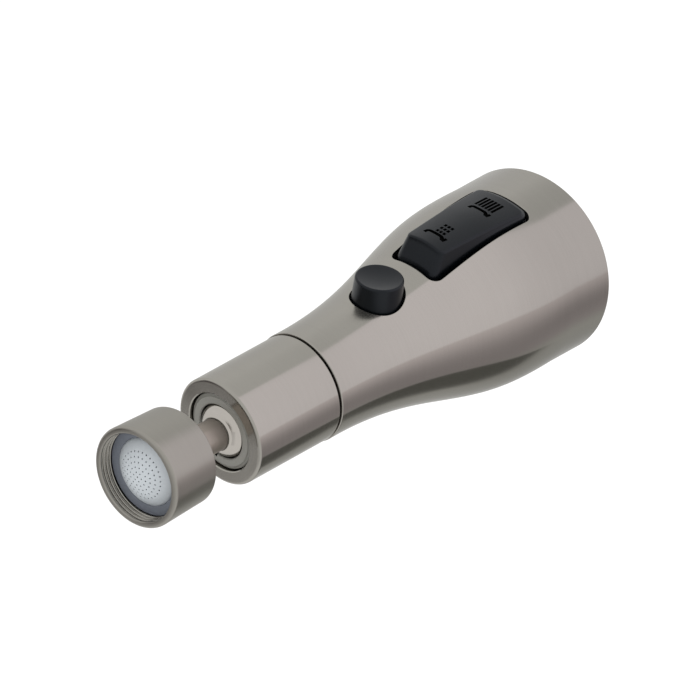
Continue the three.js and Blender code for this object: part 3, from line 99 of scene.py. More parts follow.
BALL_CENTRE = 5.67
BALL_RADIUS = 8.25
STEM_RADIUS = 4.0
STEM_FILLET = 1.2
STEM_BORE = 2.6
BALL_MOUTH, BALL_MOUTH_DEPTH = 3.4, 0.8
FLANGE_BORE, FLANGE_THICKNESS, FLANGE_NECK = 6.6, 2.6, 7.5
STEM_BORE_START = 4.0
RETAINER_FACE = low("socket_retainer")
RETAINER_END = high("socket_retainer")
RETAINER_RADIUS = high("socket_retainer", 1)
RETAINER_LIP = 0.25
RETAINER_STEP, RETAINER_STEP_EDGE = 0.75, 0.12
NOTCH_ANGLE, NOTCH_WIDTH, NOTCH_REACH, NOTCH_FLOOR = -82.0, 1.1, 0.85, 1.05

NUT_REAR, NUT_LENGTH = 21.37, 13.95
NUT_REAR_RADIUS, NUT_MOUTH_RADIUS = 12.0, 12.21
NUT_BORE = 11.0
NUT_CREST = 10.55
NUT_WALL = 2.2
NUT_LIP, NUT_MOUTH_EDGE, NUT_REAR_EDGE = 0.45, 0.85, 0.35
THREAD_PITCH, THREAD_DEPTH, THREAD_ROWS = 1.0, 0.5, 60
THREAD_START, THREAD_PAST_WASHER = 0.42, 0.4
WASHER_DEPTH, WASHER_THICKNESS = 3.85, 2.0
WASHER_LIP, WASHER_BEVEL, WASHER_EDGE = 0.8, 0.12, 0.35
SCREEN_RADIUS, SCREEN_SHEET, SCREEN_EDGE, SCREEN_RINGS = 9.1, 0.9, 0.2, 6
DOME_RADIUS, DOME_RISE = 8.15, 3.0
SCREEN_PITCH, SCREEN_HOLE = 1.13, 0.2

BUTTON_X = (low("pause_button") + high("pause_button")) / 2
BUTTON_TOP = high("pause_button", 2)
BUTTON_FOOT = low("pause_button", 2)
BUTTON_RIM, BUTTON_BASE, BUTTON_FLANGE = 6.2, 6.6, high("pause_button", 1)
BUTTON_DISH = 0.6
BUTTON_EDGE = 0.55
BUTTON_BORE, BUTTON_ROOF, BUTTON_FLANGE_THICKNESS = 5.0, 2.1, 1.2
SPRING_TURNS, SPRING_STEPS, WIRE_SIDES = 4, 28, 10
PAUSE_WIRE, CHECK_WIRE = 0.4, 0.35

SLOT = {"front": 65.8, "rear": 103.0, "half_front": 8.0, "half_rear": 9.35, "corner": 2.9}
FOOT = {"front": 66.7, "rear": 102.3, "half_front": 6.7, "half_rear": 8.2, "corner": 2.3}
CREST = {"front": 69.3, "rear": 101.2, "half_front": 6.2, "half_rear": 7.95, "corner": 1.8}
ROCKER_EDGE = 0.6
ROCKER_WALL, ROCKER_ROOF = 1.8, 2.2
ROCKER_CROWN = 1.0
KINK_X, KINK_Z, SLOPE_FRONT, SLOPE_REAR, SOFTNESS = 88.0, 26.4, 0.065, 0.01, 2.5
SKIRT_FRONT, SKIRT_REAR = 16.8, 20.6
PIVOT = (84.5, 18.0)
LEVER_HALF, LEVER_WIDTH, LEVER_TIP, LEVER_SINK = 1.6, 5, 4.3, 1.1
HUB_RADIUS, PIN_HOLE = 3.1, 1.55
ICON_DEPTH = 0.5
DASH_LENGTH, DASH_WIDTH = 1.0, 0.8
JET_START, JET_END, JET_WIDTH = 92.75, 97.85, 0.76
BAR_WIDTH, FOOT_WIDTH = 1.1, 0.85

PLATE_BACK = low("spray_plate")
PLATE_FRONT = high("spray_plate")
PLATE_RADIUS = high("spray_plate", 1)
MAT_BACK = low("nozzle_mat")
NOZZLE_TIP = high("nozzle_mat")
NOZZLE_RINGS = ((19.4, 16), (14.0, 8))
NOZZLE_HOLE, NOZZLE_BORE, NOZZLE_BORE_DEPTH = 1.7, 0.36, 1.6
CELL_PITCH, CELL_RADIUS, CELL_ROWS, SCREEN_RIM = 1.15, 0.5, 7, 1.3
AERATOR_RADIUS = high("aerator_housing", 1)
AERATOR_BACK = low("aerator_housing")
AERATOR_FRONT = high("aerator_housing")


# ---- Mesh helpers -------------------------------------------------------------------------
def arc(x, r, radius, start, end, steps):
    """Points of a circular arc, angles in degrees."""
    angles = np.radians(np.linspace(start, end, steps + 1))
    return [(x + radius * math.cos(a), r + radius * math.sin(a)) for a in angles]


def new_object(name, vertices, faces, *materials):
    mesh = bpy.data.meshes.new(name)
    mesh.from_pydata((np.array(vertices, float) * MM).tolist(), [], faces)
    mesh.update()
    mesh.shade_smooth()
    for material in materials:
        mesh.materials.append(material)
    piece = bpy.data.objects.new(name, mesh)
    bpy.context.scene.collection.objects.link(piece)
    return piece


def profile_normals(points, closed, sharp):
    """Outward normals in the (x, r) plane at both ends of each segment of a profile."""
    count = len(points)
    segments = count if closed else count - 1
    step = np.array([points[(k + 1) % count] - points[k] for k in range(segments)])
    length = np.linalg.norm(step, axis=1)
    own = np.stack([-step[:, 1], step[:, 0]], axis=1) / length[:, None]
    ends = np.stack([own, own], axis=1)
    for k in range(segments if closed else segments - 1):
        after = (k + 1) % segments
        if own[k] @ own[after] > math.cos(math.radians(sharp)):
            mean = own[k] * length[k] + own[after] * length[after]
            ends[k, 1] = ends[after, 0] = mean / np.linalg.norm(mean)
    return ends


def lathe(name, profile, material, segments=SEGMENTS, sharp=32.0):
    """Surface of revolution about X with exact normals. The profile's outer side runs to +X;
    one that starts and ends on the axis is closed there, any other is joined to its start."""
    points = np.array(profile, float)
    closed = points[0, 1] > 0
    count = len(points)
    turns = np.linspace(0, 2 * math.pi, segments, endpoint=False)
    around = np.stack([np.cos(turns), np.sin(turns)], axis=1)
    vertices, first = [], []
    for x, r in points:
        first.append(len(vertices))
        vertices += [(x, 0, 0)] if r == 0 else [(x, r * c, r * s) for c, s in around]
    ends = profile_normals(points, closed, sharp)
    faces, normals = [], []

    def corner(k, i, side):
        """Index of a ring's vertex, and its normal on the segment that starts at `side`."""
        n_x, n_r = ends[side, 0 if k == side else 1]
        c, s = around[i % segments]
        on_axis = points[k, 1] == 0
        return first[k] + (0 if on_axis else i % segments), (n_x, n_r * c, n_r * s)

    for k in range(len(ends)):
        after = (k + 1) % count
        for i in range(segments):
            loop = [corner(k, i, k), corner(k, i + 1, k)]
            loop += [corner(after, i + 1, k), corner(after, i, k)]
            if points[k, 1] == 0:
                loop.pop(1)
            elif points[after, 1] == 0:
                loop.pop(2)
            faces.append([index for index, _ in loop])
            normals += [normal for _, normal in loop]
    piece = new_object(name, vertices, faces, material)
    piece.data.normals_split_custom_set(normals)
    return piece


def plain_normals(piece, angle):
    piece.data.shade_smooth()
    piece.data.set_sharp_from_angle(angle=math.radians(angle))
    return piece


def loft(name, rings, *materials):
    """Closed surface through rings of (x, y, z) points, counter-clockwise from the top."""
    count = len(rings[0])
    vertices = [point for ring in rings for point in ring]
    faces = []
    for k in range(len(rings) - 1):
        for i in range(count):
            a, b = k * count + i, k * count + (i + 1) % count
            faces.append((a, b, b + count, a + count))
    for ring, start, upward in ((rings[0], 0, False), (rings[-1], len(vertices) - count, True)):
        centre = len(vertices)
        vertices.append(tuple(np.mean(np.array(ring), axis=0)))
        for i in range(count):
            a, b = start + i, start + (i + 1) % count
            faces.append((a, b, centre) if upward else (b, a, centre))
    return new_object(name, vertices, faces, *materials)


def through(y, z, outline, start, end):
    """Rings along X for a hole at (y, z)."""
    return [[(x, y + dy, z + dz) for dy, dz in outline] for x in (start, end)]


def facing_out(piece):
    work = bmesh.new()
    work.from_mesh(piece.data)
    bmesh.ops.recalc_face_normals(work, faces=work.faces)
    work.to_mesh(piece.data)
    work.free()


def boolean(target, tool, operation="DIFFERENCE"):
    """Cuts target by tool, or joins them; faces that come from the tool keep its materials."""
    facing_out(tool)
    modifier = target.modifiers.new("cut", "BOOLEAN")
    modifier.operation = operation
    modifier.solver = "EXACT"
    modifier.material_mode = "TRANSFER"
    modifier.object = tool
    bpy.context.view_layer.update()
    graph = bpy.context.evaluated_depsgraph_get()
    mesh = bpy.data.meshes.new_from_object(target.evaluated_get(graph), depsgraph=graph)
    target.modifiers.clear()
    target.data = mesh
    bpy.data.objects.remove(tool)
    return target


def merge(name, pieces):
    """One object from several that are already in place."""
    with bpy.context.temp_override(
        active_object=pieces[0], selected_editable_objects=pieces, object=pieces[0]
    ):
        bpy.ops.object.join()
    pieces[0].name = name
    return pieces[0]


def place(piece, body, slot, *nodes):
    """The piece moves with a body and stands for these CAD nodes."""
    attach(piece, body)
    if nodes:
        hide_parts(*nodes)
    return piece


# ---- Materials ----------------------------------------------------------------------------
def hex_colour(code):
    channels = [int(code[i : i + 2], 16) / 255 for i in (0, 2, 4)]
    return [c / 12.92 if c <= 0.04045 else ((c + 0.055) / 1.055) ** 2.4 for c in channels] + [1]


class Graph:
    """Short names for the shader nodes of one material."""

    def __init__(self, name):
        self.material = bpy.data.materials.new(name)
        self.material.use_nodes = True
        self.tree = self.material.node_tree
        self.shader = self.tree.nodes["Principled BSDF"]

    def node(self, kind, links=None, **settings):
        made = self.tree.nodes.new(kind)
        for key, value in settings.items():
            setattr(made, key, value)
        for socket, value in (links or {}).items():
            self.feed(made.inputs[socket], value)
        return made

    def feed(self, socket, value):
        if isinstance(value, bpy.types.NodeSocket):
            self.tree.links.new(value, socket)
        else:
            socket.default_value = value

    def split(self, vector):
        return self.node("ShaderNodeSeparateXYZ", {0: vector}).outputs

    def math(self, operation, a, b=0.0):
        return self.node("ShaderNodeMath", {0: a, 1: b}, operation=operation).outputs[0]

    def noise(self, vector, scale, detail=3.0, roughness=0.55):
        links = {"Vector": vector, "Scale": scale, "Detail": detail, "Roughness": roughness}
        return self.node("ShaderNodeTexNoise", links).outputs["Fac"]

    def remap(self, value, low_value, high_value, start=0.3, end=0.7):
        """Maps start..end of a value to a range, without going past it."""
        links = {0: value, 1: start, 2: end, 3: low_value, 4: high_value}
        return self.node("ShaderNodeMapRange", links).outputs[0]

    def ramp(self, value, stops):
        made = self.node("ShaderNodeValToRGB", {0: value})
        elements = made.color_ramp.elements
        while len(elements) < len(stops):
            elements.new(0.5)
        for element, (position, colour) in zip(elements, stops):
            element.position = position
            element.color = colour
        return made.outputs[0]

    def mix(self, share, a, b):
        made = self.node("ShaderNodeMix", {"Factor": share}, data_type="RGBA")
        for socket, value in ((made.inputs[6], a), (made.inputs[7], b)):
            self.feed(socket, value)
        return made.outputs[2]

    def bump(self, height, strength, distance):
        links = {"Height": height, "Strength": strength, "Distance": distance * MM}
        self.feed(self.shader.inputs["Normal"], self.node("ShaderNodeBump", links).outputs[0])

    def set(self, **values):
        for key, value in values.items():
            self.feed(self.shader.inputs[key.replace("_", " ")], value)


def shades(code, spread):
    """Two colours, a little darker and a little lighter than the given one."""
    colour = np.array(hex_colour(code))
    dark, light = colour * (1 - spread), colour * (1 + spread)
    dark[3] = light[3] = 1
    return tuple(dark), tuple(light)


def turned_metal(name, code, roughness, anisotropy, streaks, edge=0.75, faced=0.21):
    """Metal brushed round the X axis: fine lines round the piece, reflections drawn along it.
    Faces square to the axis are turned more coarsely."""
    g = Graph(name)
    place_in_piece = g.node("ShaderNodeTexCoord").outputs["Object"]
    parts = g.split(place_in_piece)
    across = g.node("ShaderNodeCombineXYZ", {"Y": parts["Y"], "Z": parts["Z"]}).outputs[0]
    radius = g.node("ShaderNodeVectorMath", {0: across}, operation="LENGTH").outputs["Value"]
    turn = g.node("ShaderNodeVectorMath", {0: across}, operation="NORMALIZE").outputs[0]
    way = g.split(turn)
    along = g.math("ADD", parts["X"], radius)

    def lines(per_metre, round_turn, detail):
        stretch = g.node(
            "ShaderNodeCombineXYZ",
            {
                "X": g.math("MULTIPLY", along, per_metre),
                "Y": g.math("MULTIPLY", way["Y"], round_turn),
                "Z": g.math("MULTIPLY", way["Z"], round_turn),
            },
        )
        return g.noise(stretch.outputs[0], 1.0, detail, 0.6)

    fine = lines(9000.0, 1.2, 2.0)
    broad = lines(2400.0, 0.7, 3.0)
    clouds = g.noise(place_in_piece, 42.0, 3.0)
    brushing = g.math("ADD", g.math("MULTIPLY", fine, 0.6), g.math("MULTIPLY", broad, 0.4))
    tone = g.math("ADD", brushing, g.math("MULTIPLY", g.math("SUBTRACT", clouds, 0.5), 0.5))
    slant = g.split(g.node("ShaderNodeTexCoord").outputs["Normal"])["X"]
    facing = g.remap(g.math("ABSOLUTE", slant), roughness, faced, 0.8, 0.98)
    dark, light = shades(code, streaks)
    g.set(
        Base_Color=g.ramp(tone, ((0.35, dark), (0.65, light))),
        Metallic=1.0,
        Roughness=g.math("ADD", facing, g.remap(brushing, -0.015, 0.015, 0.35, 0.65)),
        Anisotropic=anisotropy,
        Anisotropic_Rotation=0.25,
        Specular_Tint=(edge, edge, edge, 1),
        Tangent=g.node("ShaderNodeTangent", direction_type="RADIAL", axis="X").outputs[0],
    )
    g.bump(fine, 0.03, 0.006)
    return g.material


def moulded(
    name,
    code,
    roughness,
    grain=2600.0,
    relief=0.12,
    spread=0.12,
    specular=0.5,
    tint=(1, 1, 1, 1),
):
    """Plastic or rubber with a fine moulded grain, slight flow marks and handling sheen."""
    g = Graph(name)
    place_in_piece = g.node("ShaderNodeTexCoord").outputs["Object"]
    pits = g.noise(place_in_piece, grain, 2.0)
    clouds = g.noise(place_in_piece, 90.0, 4.0)
    dark, light = shades(code, spread)
    tone = g.math("MULTIPLY", g.math("ADD", clouds, pits), 0.5)
    g.set(
        Base_Color=g.ramp(tone, ((0.38, dark), (0.62, light))),
        Roughness=g.remap(clouds, roughness - 0.04, roughness + 0.05),
        Specular_IOR_Level=specular,
        Specular_Tint=tint,
    )
    g.bump(pits, relief, 0.02)
    return g.material


NICKEL = turned_metal("brushed_nickel", "9c9992", 0.15, 0.9, 0.025)
NUT_NICKEL = turned_metal("nut_nickel", "96938c", 0.29, 0.85, 0.025, faced=0.3)
BRIGHT_NICKEL = turned_metal("bright_nickel", "b4afa8", 0.12, 0.3, 0.03)
STEM_NICKEL = turned_metal("stem_nickel", "b9b0a7", 0.33, 0.85, 0.03, faced=0.4)
STEEL = turned_metal("steel", "b9b9b6", 0.28, 0.4, 0.04)
CHARCOAL = moulded(
    "charcoal_plastic", "040608", 0.33, 3200.0, 0.06, 0.1, 0.28, tint=(0.84, 0.9, 1.0, 1)
)
# Near-black painted shade for hollows and for the walls of holes, slots and notches.
PAINTED_SHADE_BLACK = moulded("painted_shade_inside", "050505", 0.7)
# Near-black floors of the pictogram recesses.
ICON_FLOOR_BLACK = moulded("pictogram_black", "020202", 0.9, specular=0.04)
DARK_PLASTIC = moulded("dark_plastic", "202225", 0.42)
GREY_ACETAL = moulded("grey_acetal", "87867f", 0.42, 1500.0, 0.06, 0.05)
WHITE_ACETAL = moulded("white_acetal", "d9d8d2", 0.45, 1500.0, 0.06, 0.04)
MOULDED_GREY = moulded("moulded_grey", "8d9091", 0.5)
WASHER_RUBBER = moulded("washer_rubber", "6d727b", 0.6, 1800.0, 0.15, 0.08)
BLACK_RUBBER = moulded("black_rubber", "1b1b1c", 0.65)
NOZZLE_RUBBER = moulded("nozzle_rubber", "55585c", 0.6)
SCREEN_PLASTIC = moulded("screen_plastic", "bbc1c5", 0.42, 1500.0, 0.05, 0.03)
SLOT_MATERIALS = {
    "brushed_nickel": NICKEL,
    "bright_nickel": BRIGHT_NICKEL,
    "steel": STEEL,
    "charcoal_plastic": CHARCOAL,
    "dark_plastic": DARK_PLASTIC,
    "grey_acetal": GREY_ACETAL,
    "white_acetal": WHITE_ACETAL,
    "moulded_grey": MOULDED_GREY,
    "washer_rubber": WASHER_RUBBER,
    "black_rubber": BLACK_RUBBER,
    "nozzle_rubber": NOZZLE_RUBBER,
    "screen_plastic": SCREEN_PLASTIC,
}
for part in frame["record"]["subparts"]:
    mesh = frame["nodes"][part["node"]].data
    mesh.materials.clear()
    mesh.materials.append(SLOT_MATERIALS[part["material_slot"]])


# ---- Shell --------------------------------------------------------------------------------
def bezier(start, first, second, end, steps):
    t = np.linspace(0, 1, steps, endpoint=False)[:, None]
    a, b, c, d = (np.array(point, float) for point in (start, first, second, end))
    return (1 - t) ** 3 * a + 3 * (1 - t) ** 2 * t * b + 3 * (1 - t) * t**2 * c + t**3 * d


flare_station = SHELL_START + FLARE_RUN
bell_station = flare_station + BELL_RUN


def shell_outline(steps):
    """Outer profile from the neck to the full bell: two cubic curves with a common slope."""
    back, ahead = FLARE_PULL_BACK * FLARE_RUN, FLARE_PULL_AHEAD * BELL_RUN
    flare = bezier(
        (SHELL_START, NECK_RADIUS),
        (SHELL_START + NECK_PULL * FLARE_RUN, NECK_RADIUS),
        (flare_station - back, FLARE_RADIUS - back * FLARE_SLOPE),
        (flare_station, FLARE_RADIUS),
        steps,
    )
    bell = bezier(
        (flare_station, FLARE_RADIUS),
        (flare_station + ahead, FLARE_RADIUS + ahead * FLARE_SLOPE),
        (bell_station - BELL_PULL * BELL_RUN, BELL_RADIUS),
        (bell_station, BELL_RADIUS),
        steps,
    )
    return np.vstack([flare, bell, [(bell_station, BELL_RADIUS), (RIM_STATION, RIM_RADIUS)]])


fine_outline = shell_outline(400)


def shell_radius(x):
    return float(np.interp(x, fine_outline[:, 0], fine_outline[:, 1]))


def shell_height(x, y):
    return math.sqrt(shell_radius(x) ** 2 - y**2)


def shell_normal(x, y, z):
    step = 0.2
    slope = (shell_radius(x + step) - shell_radius(x - step)) / (2 * step)
    radius = math.hypot(y, z)
    return Vector((-slope, y / radius, z / radius)).normalized()


def rounded_trapezoid(size, inset=0.0, bend_steps=8, side_steps=(6, 18)):
    """Points of a rocker outline, the same number for every size, counter-clockwise."""
    front, rear, corner = size["front"] + inset, size["rear"] - inset, size["corner"]
    length = size["rear"] - size["front"]
    growth = (size["half_rear"] - size["half_front"]) / length
    radius = max(corner - inset, 0.3)

    def half(x):
        return size["half_front"] + growth * (x - size["front"]) - inset

    centres = (
        (rear - radius, half(rear) - radius),
        (front + radius, half(front) - radius),
        (front + radius, -half(front) + radius),
        (rear - radius, -half(rear) + radius),
    )
    bends = [arc(x, y, radius, 90 * k, 90 * k + 90, bend_steps) for k, (x, y) in enumerate(centres)]
    points = []
    for k, bend in enumerate(bends):
        steps = side_steps[1 - k % 2]
        start, end = np.array(bend[-1]), np.array(bends[(k + 1) % 4][0])
        points += bend + [tuple(start + (end - start) * i / steps) for i in range(1, steps)]
    return points


def circle(x, y, radius, steps=96):
    return arc(x, y, radius, 0, 360 * (1 - 1 / steps), steps - 1)


def cutter_through_shell(name, outline):
    """Cutter whose sides open in a small rounded chamfer that follows the shell's surface."""
    rings = [[(x, y, 0.0) for x, y in outline(0.0)]]
    for grow, rise in CHAMFER_STEPS:
        rings.append(
            [
                (x, y, shell_height(x, y) + rise * CUT_CHAMFER)
                for x, y in outline(grow * CUT_CHAMFER)
            ]
        )
    widest = CHAMFER_STEPS[-1][0] * CUT_CHAMFER
    rings.append([(x, y, 1.5 * RIM_RADIUS) for x, y in outline(widest)])
    # The cutter's walls become the opening's walls in painted shade black; its chamfer faces stay nickel.
    cutter = loft(name, rings, PAINTED_SHADE_BLACK, NICKEL)
    walls = len(rings[0])
    for polygon in cutter.data.polygons:
        on_chamfer = walls <= polygon.index < walls * (len(CHAMFER_STEPS) + 1)
        polygon.material_index = int(on_chamfer)
    return cutter


def make_shell():
    coarse = shell_outline(24)
    inside = [(x, r - SHELL_WALL) for x, r in coarse if SHELL_START < x < FACE_BORE_START - 1]
    start = SHELL_START + NECK_EDGE
    body = [(x, r) for x, r in shell_outline(56) if start < x < RIM_STATION - RIM_EDGE]
    profile = [
        *arc(start, NECK_RADIUS - NECK_EDGE, NECK_EDGE, 180, 90, 4),
        *body,
        *arc(RIM_STATION - RIM_EDGE, RIM_RADIUS - RIM_EDGE, RIM_EDGE, 90, 0, 5),
        (RIM_STATION, FACE_BORE + 0.2),
        (RIM_STATION - 0.2, FACE_BORE),
        (FACE_BORE_START, FACE_BORE),
        (FACE_BORE_START, shell_radius(FACE_BORE_START) - SHELL_WALL - 0.4),
        *reversed(inside),
        (SHELL_START, NECK_RADIUS - SHELL_WALL),
    ]
    shell = lathe("shell_skin", profile, NICKEL)
    openings = {
        "slot": lambda grow: rounded_trapezoid(SLOT, -grow),
        "hole": lambda grow: circle(BUTTON_X, 0, BUTTON_BASE + GAP + grow),
    }
    for name, outline in openings.items():
        boolean(shell, cutter_through_shell(name, outline))
    plain_normals(shell, 35)
    mesh = shell.data
    normals = [corner.vector.copy() for corner in mesh.corner_normals]
    for polygon in mesh.polygons:
        x, y, z = polygon.center / MM
        if not SHELL_START + NECK_EDGE < x < RIM_STATION - RIM_EDGE:
            continue
        if polygon.normal.dot(shell_normal(x, y, z)) < 0.999:
            # Faces inside the shell get painted shade: near-black instead of nickel.
            if math.hypot(y, z) < shell_radius(x) - SHELL_WALL / 2:
                polygon.material_index = mesh.materials.find(PAINTED_SHADE_BLACK.name)
            continue
        for corner in polygon.loop_indices:
            place_of = mesh.vertices[mesh.loops[corner].vertex_index].co / MM
            normals[corner] = shell_normal(*place_of)
    mesh.normals_split_custom_set(normals)
    place(shell, "handle", "brushed_nickel", "handle_shell")


make_shell()


# ---- Neck sleeve and ball socket -----------------------------------------------------------
def make_sleeve():
    small, large = SLEEVE_RADII
    rear = SLEEVE_REAR_EDGE
    profile = [
        *arc(SLEEVE_EDGE, small - SLEEVE_EDGE, SLEEVE_EDGE, 180, 90, 8),
        *arc(SLEEVE_END - rear, large - rear, rear, 90, 0, 6),
        (SLEEVE_END, SPIGOT_RADIUS),
        (SLEEVE_END + SPIGOT_LENGTH, SPIGOT_RADIUS),
        (SLEEVE_END + SPIGOT_LENGTH, SOCKET_BORE),
        (SOCKET_BEVEL, SOCKET_BORE),
        (0, SOCKET_BORE + SOCKET_BEVEL),
    ]
    place(lathe("sleeve_skin", profile, NICKEL), "handle", "brushed_nickel", "neck_sleeve")


def make_retainer():
    socket = BALL_RADIUS + GAP
    lip = RETAINER_FACE + RETAINER_LIP
    aperture = math.sqrt(socket**2 - (BALL_CENTRE - lip) ** 2)

    def reach(x):
        return math.degrees(math.acos((x - BALL_CENTRE) / socket))

    step = RETAINER_RADIUS - RETAINER_STEP
    profile = [
        (RETAINER_FACE, aperture + RETAINER_LIP),
        (RETAINER_FACE, step - RETAINER_STEP_EDGE),
        (RETAINER_FACE + RETAINER_STEP_EDGE, step),
        (RETAINER_FACE + 0.3, step + 0.02),
        (RETAINER_FACE + 0.3, RETAINER_RADIUS - 0.25),
        (RETAINER_FACE + 0.5, RETAINER_RADIUS),
        (RETAINER_END, RETAINER_RADIUS),
        *arc(BALL_CENTRE, 0, socket, reach(RETAINER_END), reach(lip), 14),
    ]
    ring = lathe("retainer_skin", profile, GREY_ACETAL)
    angle = math.radians(NOTCH_ANGLE)
    out = np.array((0, math.cos(angle), math.sin(angle)))
    side = np.array((0, -math.sin(angle), math.cos(angle)))
    near, far, half = aperture - 1, aperture + NOTCH_REACH, NOTCH_WIDTH / 2
    corners = [
        np.array((x, 0, 0)) + out * r + side * s
        for x in (RETAINER_FACE - 1, RETAINER_FACE + NOTCH_FLOOR)
        for r, s in ((near, -half), (far, -half), (far, half), (near, half))
    ]
    walls = [(i, i + 4, (i + 1) % 4 + 4, (i + 1) % 4) for i in range(4)]
    faces = [(0, 1, 2, 3), (7, 6, 5, 4), *walls]
    # The notch's walls are painted shade: near-black in the grey ring.
    boolean(ring, new_object("notch", corners, faces, PAINTED_SHADE_BLACK))
    plain_normals(ring, 32)
    place(ring, "handle", "grey_acetal", "socket_retainer")


make_sleeve()
make_retainer()

# ---- Ball, stem and hose nut, made about the ball's centre and then turned with the hose ----
ball_centre = Vector(joints["ball_swivel"]["pos_m"])
nut_axis = Vector(joints["nut_spin"]["axis"]).normalized()
if nut_axis.x < 0:
    nut_axis = -nut_axis
hose_turn = X_AXIS.rotation_difference(nut_axis)
hose_frame = Matrix.Translation(ball_centre) @ hose_turn.to_matrix().to_4x4()

nut_mouth = -NUT_REAR - NUT_LENGTH
nut_floor = -NUT_REAR - NUT_WALL
washer_face = nut_mouth + WASHER_DEPTH
flange_face = washer_face + WASHER_THICKNESS + GAP


def with_hose(piece, body, slot, node):
    piece.matrix_world = hose_frame
    place(piece, body, slot, node)


def make_ball():
    reach = math.sqrt((BALL_RADIUS + STEM_FILLET) ** 2 - (STEM_RADIUS + STEM_FILLET) ** 2)
    fillet = math.degrees(math.atan2(STEM_RADIUS + STEM_FILLET, reach))
    mouth = math.degrees(math.asin(BALL_MOUTH / BALL_RADIUS))
    mouth_station = BALL_RADIUS * math.cos(math.radians(mouth))
    profile = [
        (flange_face, FLANGE_BORE),
        (flange_face, NUT_BORE - GAP),
        (flange_face + FLANGE_THICKNESS, NUT_BORE - GAP),
        (flange_face + FLANGE_THICKNESS, FLANGE_NECK),
        (nut_floor - GAP, FLANGE_NECK),
        (nut_floor - GAP, STEM_RADIUS),
        *arc(-reach, STEM_RADIUS + STEM_FILLET, STEM_FILLET, -90, -fillet, 8),
        *arc(0, 0, BALL_RADIUS, 180 - fillet, mouth, 48)[1:],
        (mouth_station - BALL_MOUTH_DEPTH, STEM_BORE),
        (flange_face + STEM_BORE_START, STEM_BORE),
    ]
    ball = lathe("ball_skin", profile, BRIGHT_NICKEL)
    ball.data.materials.append(STEM_NICKEL)
    for polygon in ball.data.polygons:
        polygon.material_index = int(polygon.center.x / MM < -reach)
    with_hose(ball, "ball_stem", "bright_nickel", "ball_stem")


def make_nut():
    """The bore carries a helical thread; everything else is turned."""
    lip, mouth, rear = NUT_LIP, NUT_MOUTH_EDGE, NUT_REAR_EDGE
    outside = [
        *arc(nut_mouth + lip, NUT_CREST + lip, lip, 270, 180, 6),
        *arc(nut_mouth + mouth, NUT_MOUTH_RADIUS - mouth, mouth, 180, 90, 8),
        *arc(-NUT_REAR - rear, NUT_REAR_RADIUS - rear, rear, 90, 0, 5),
        (-NUT_REAR, STEM_RADIUS + GAP),
        (nut_floor, STEM_RADIUS + GAP),
        (nut_floor, NUT_BORE + 0.01),
    ]
    threaded = WASHER_DEPTH + THREAD_PAST_WASHER
    run = threaded - THREAD_START
    bore = [
        (nut_mouth + threaded - run * k / THREAD_ROWS, NUT_BORE) for k in range(THREAD_ROWS)
    ]
    nut = lathe("nut_skin", outside + bore, NUT_NICKEL)
    first = len(outside) * SEGMENTS
    threads = range(first, first + THREAD_ROWS * SEGMENTS)
    for index in threads:
        vertex = nut.data.vertices[index]
        x, y, z = vertex.co / MM
        turn = math.atan2(z, y) / (2 * math.pi)
        depth = x - nut_mouth
        phase = (depth / THREAD_PITCH - turn) % 1
        flank = max(0.0, 1 - abs(phase - 0.5) * 2.9)
        run_out = min(1.0, (depth - THREAD_START) / 0.5, (threaded - depth) / 0.6)
        ridge = THREAD_DEPTH * min(1.0, 1.25 * flank) * max(0.0, run_out)
        shrink = (NUT_BORE - ridge) / NUT_BORE
        vertex.co.y *= shrink
        vertex.co.z *= shrink
    turned = [corner.vector.copy() for corner in nut.data.corner_normals]
    plain_normals(nut, 50)
    shaded = [corner.vector.copy() for corner in nut.data.corner_normals]
    nut.data.materials.append(NICKEL)
    for polygon in nut.data.polygons:
        if all(v in threads for v in polygon.vertices):
            polygon.material_index = 1
            for corner in polygon.loop_indices:
                turned[corner] = shaded[corner]
    nut.data.normals_split_custom_set(turned)
    with_hose(nut, "hose_nut", "brushed_nickel", "hose_nut")


def make_washer():
    """Flat ring whose lip holds the screen's dome."""
    bore = SCREEN_RADIUS + GAP
    lip = DOME_RADIUS + 0.05
    outer = NUT_BORE - GAP
    edge = WASHER_EDGE
    profile = [
        (washer_face + WASHER_LIP, lip),
        (washer_face + WASHER_BEVEL, lip),
        (washer_face, lip + WASHER_BEVEL),
        *arc(washer_face + edge, outer - edge, edge, 180, 90, 5),
        (washer_face + WASHER_THICKNESS, outer),
        (washer_face + WASHER_THICKNESS, bore),
        (washer_face + WASHER_LIP, bore),
    ]
    washer = lathe("washer_skin", profile, WASHER_RUBBER)
    with_hose(washer, "hose_nut", "washer_rubber", "hose_washer")


def make_screen():
    """Dome with a flat rim and a field of fine holes, hollow behind."""
    back = flange_face - GAP
    edge = SCREEN_EDGE
    sphere = (DOME_RADIUS**2 + DOME_RISE**2) / (2 * DOME_RISE)
    centre = washer_face - DOME_RISE + sphere
    opening = math.degrees(math.asin(DOME_RADIUS / sphere))
    inner = sphere - SCREEN_SHEET
    profile = [
        *arc(centre, 0, sphere, 180, 180 - opening, 16),
        (back - SCREEN_SHEET, DOME_RADIUS),
        *arc(back - SCREEN_SHEET + edge, SCREEN_RADIUS - edge, edge, 180, 90, 4),
        (back, SCREEN_RADIUS),
        (back, inner * math.sin(math.radians(opening))),
        *arc(centre, 0, inner, 180 - opening, 180, 12),
    ]
    screen = lathe("screen_skin", profile, SCREEN_PLASTIC, SMALL_SEGMENTS)
    hole = circle(0, 0, SCREEN_HOLE, 10)
    pins = []
    for ring in range(SCREEN_RINGS):
        for i in range(max(1, 6 * ring)):
            turn = math.pi * i / (3 * max(1, ring))
            y = SCREEN_PITCH * ring * math.cos(turn)
            z = SCREEN_PITCH * ring * math.sin(turn)
            pin = through(y, z, hole, back + 0.5, washer_face - 4)
            pins.append(loft("pin", pin, SCREEN_PLASTIC))
    boolean(screen, merge("pins", pins))
    plain_normals(screen, 35)
    with_hose(screen, "hose_nut", "screen_plastic", "filter_screen")


make_ball()
make_nut()
make_washer()
make_screen()


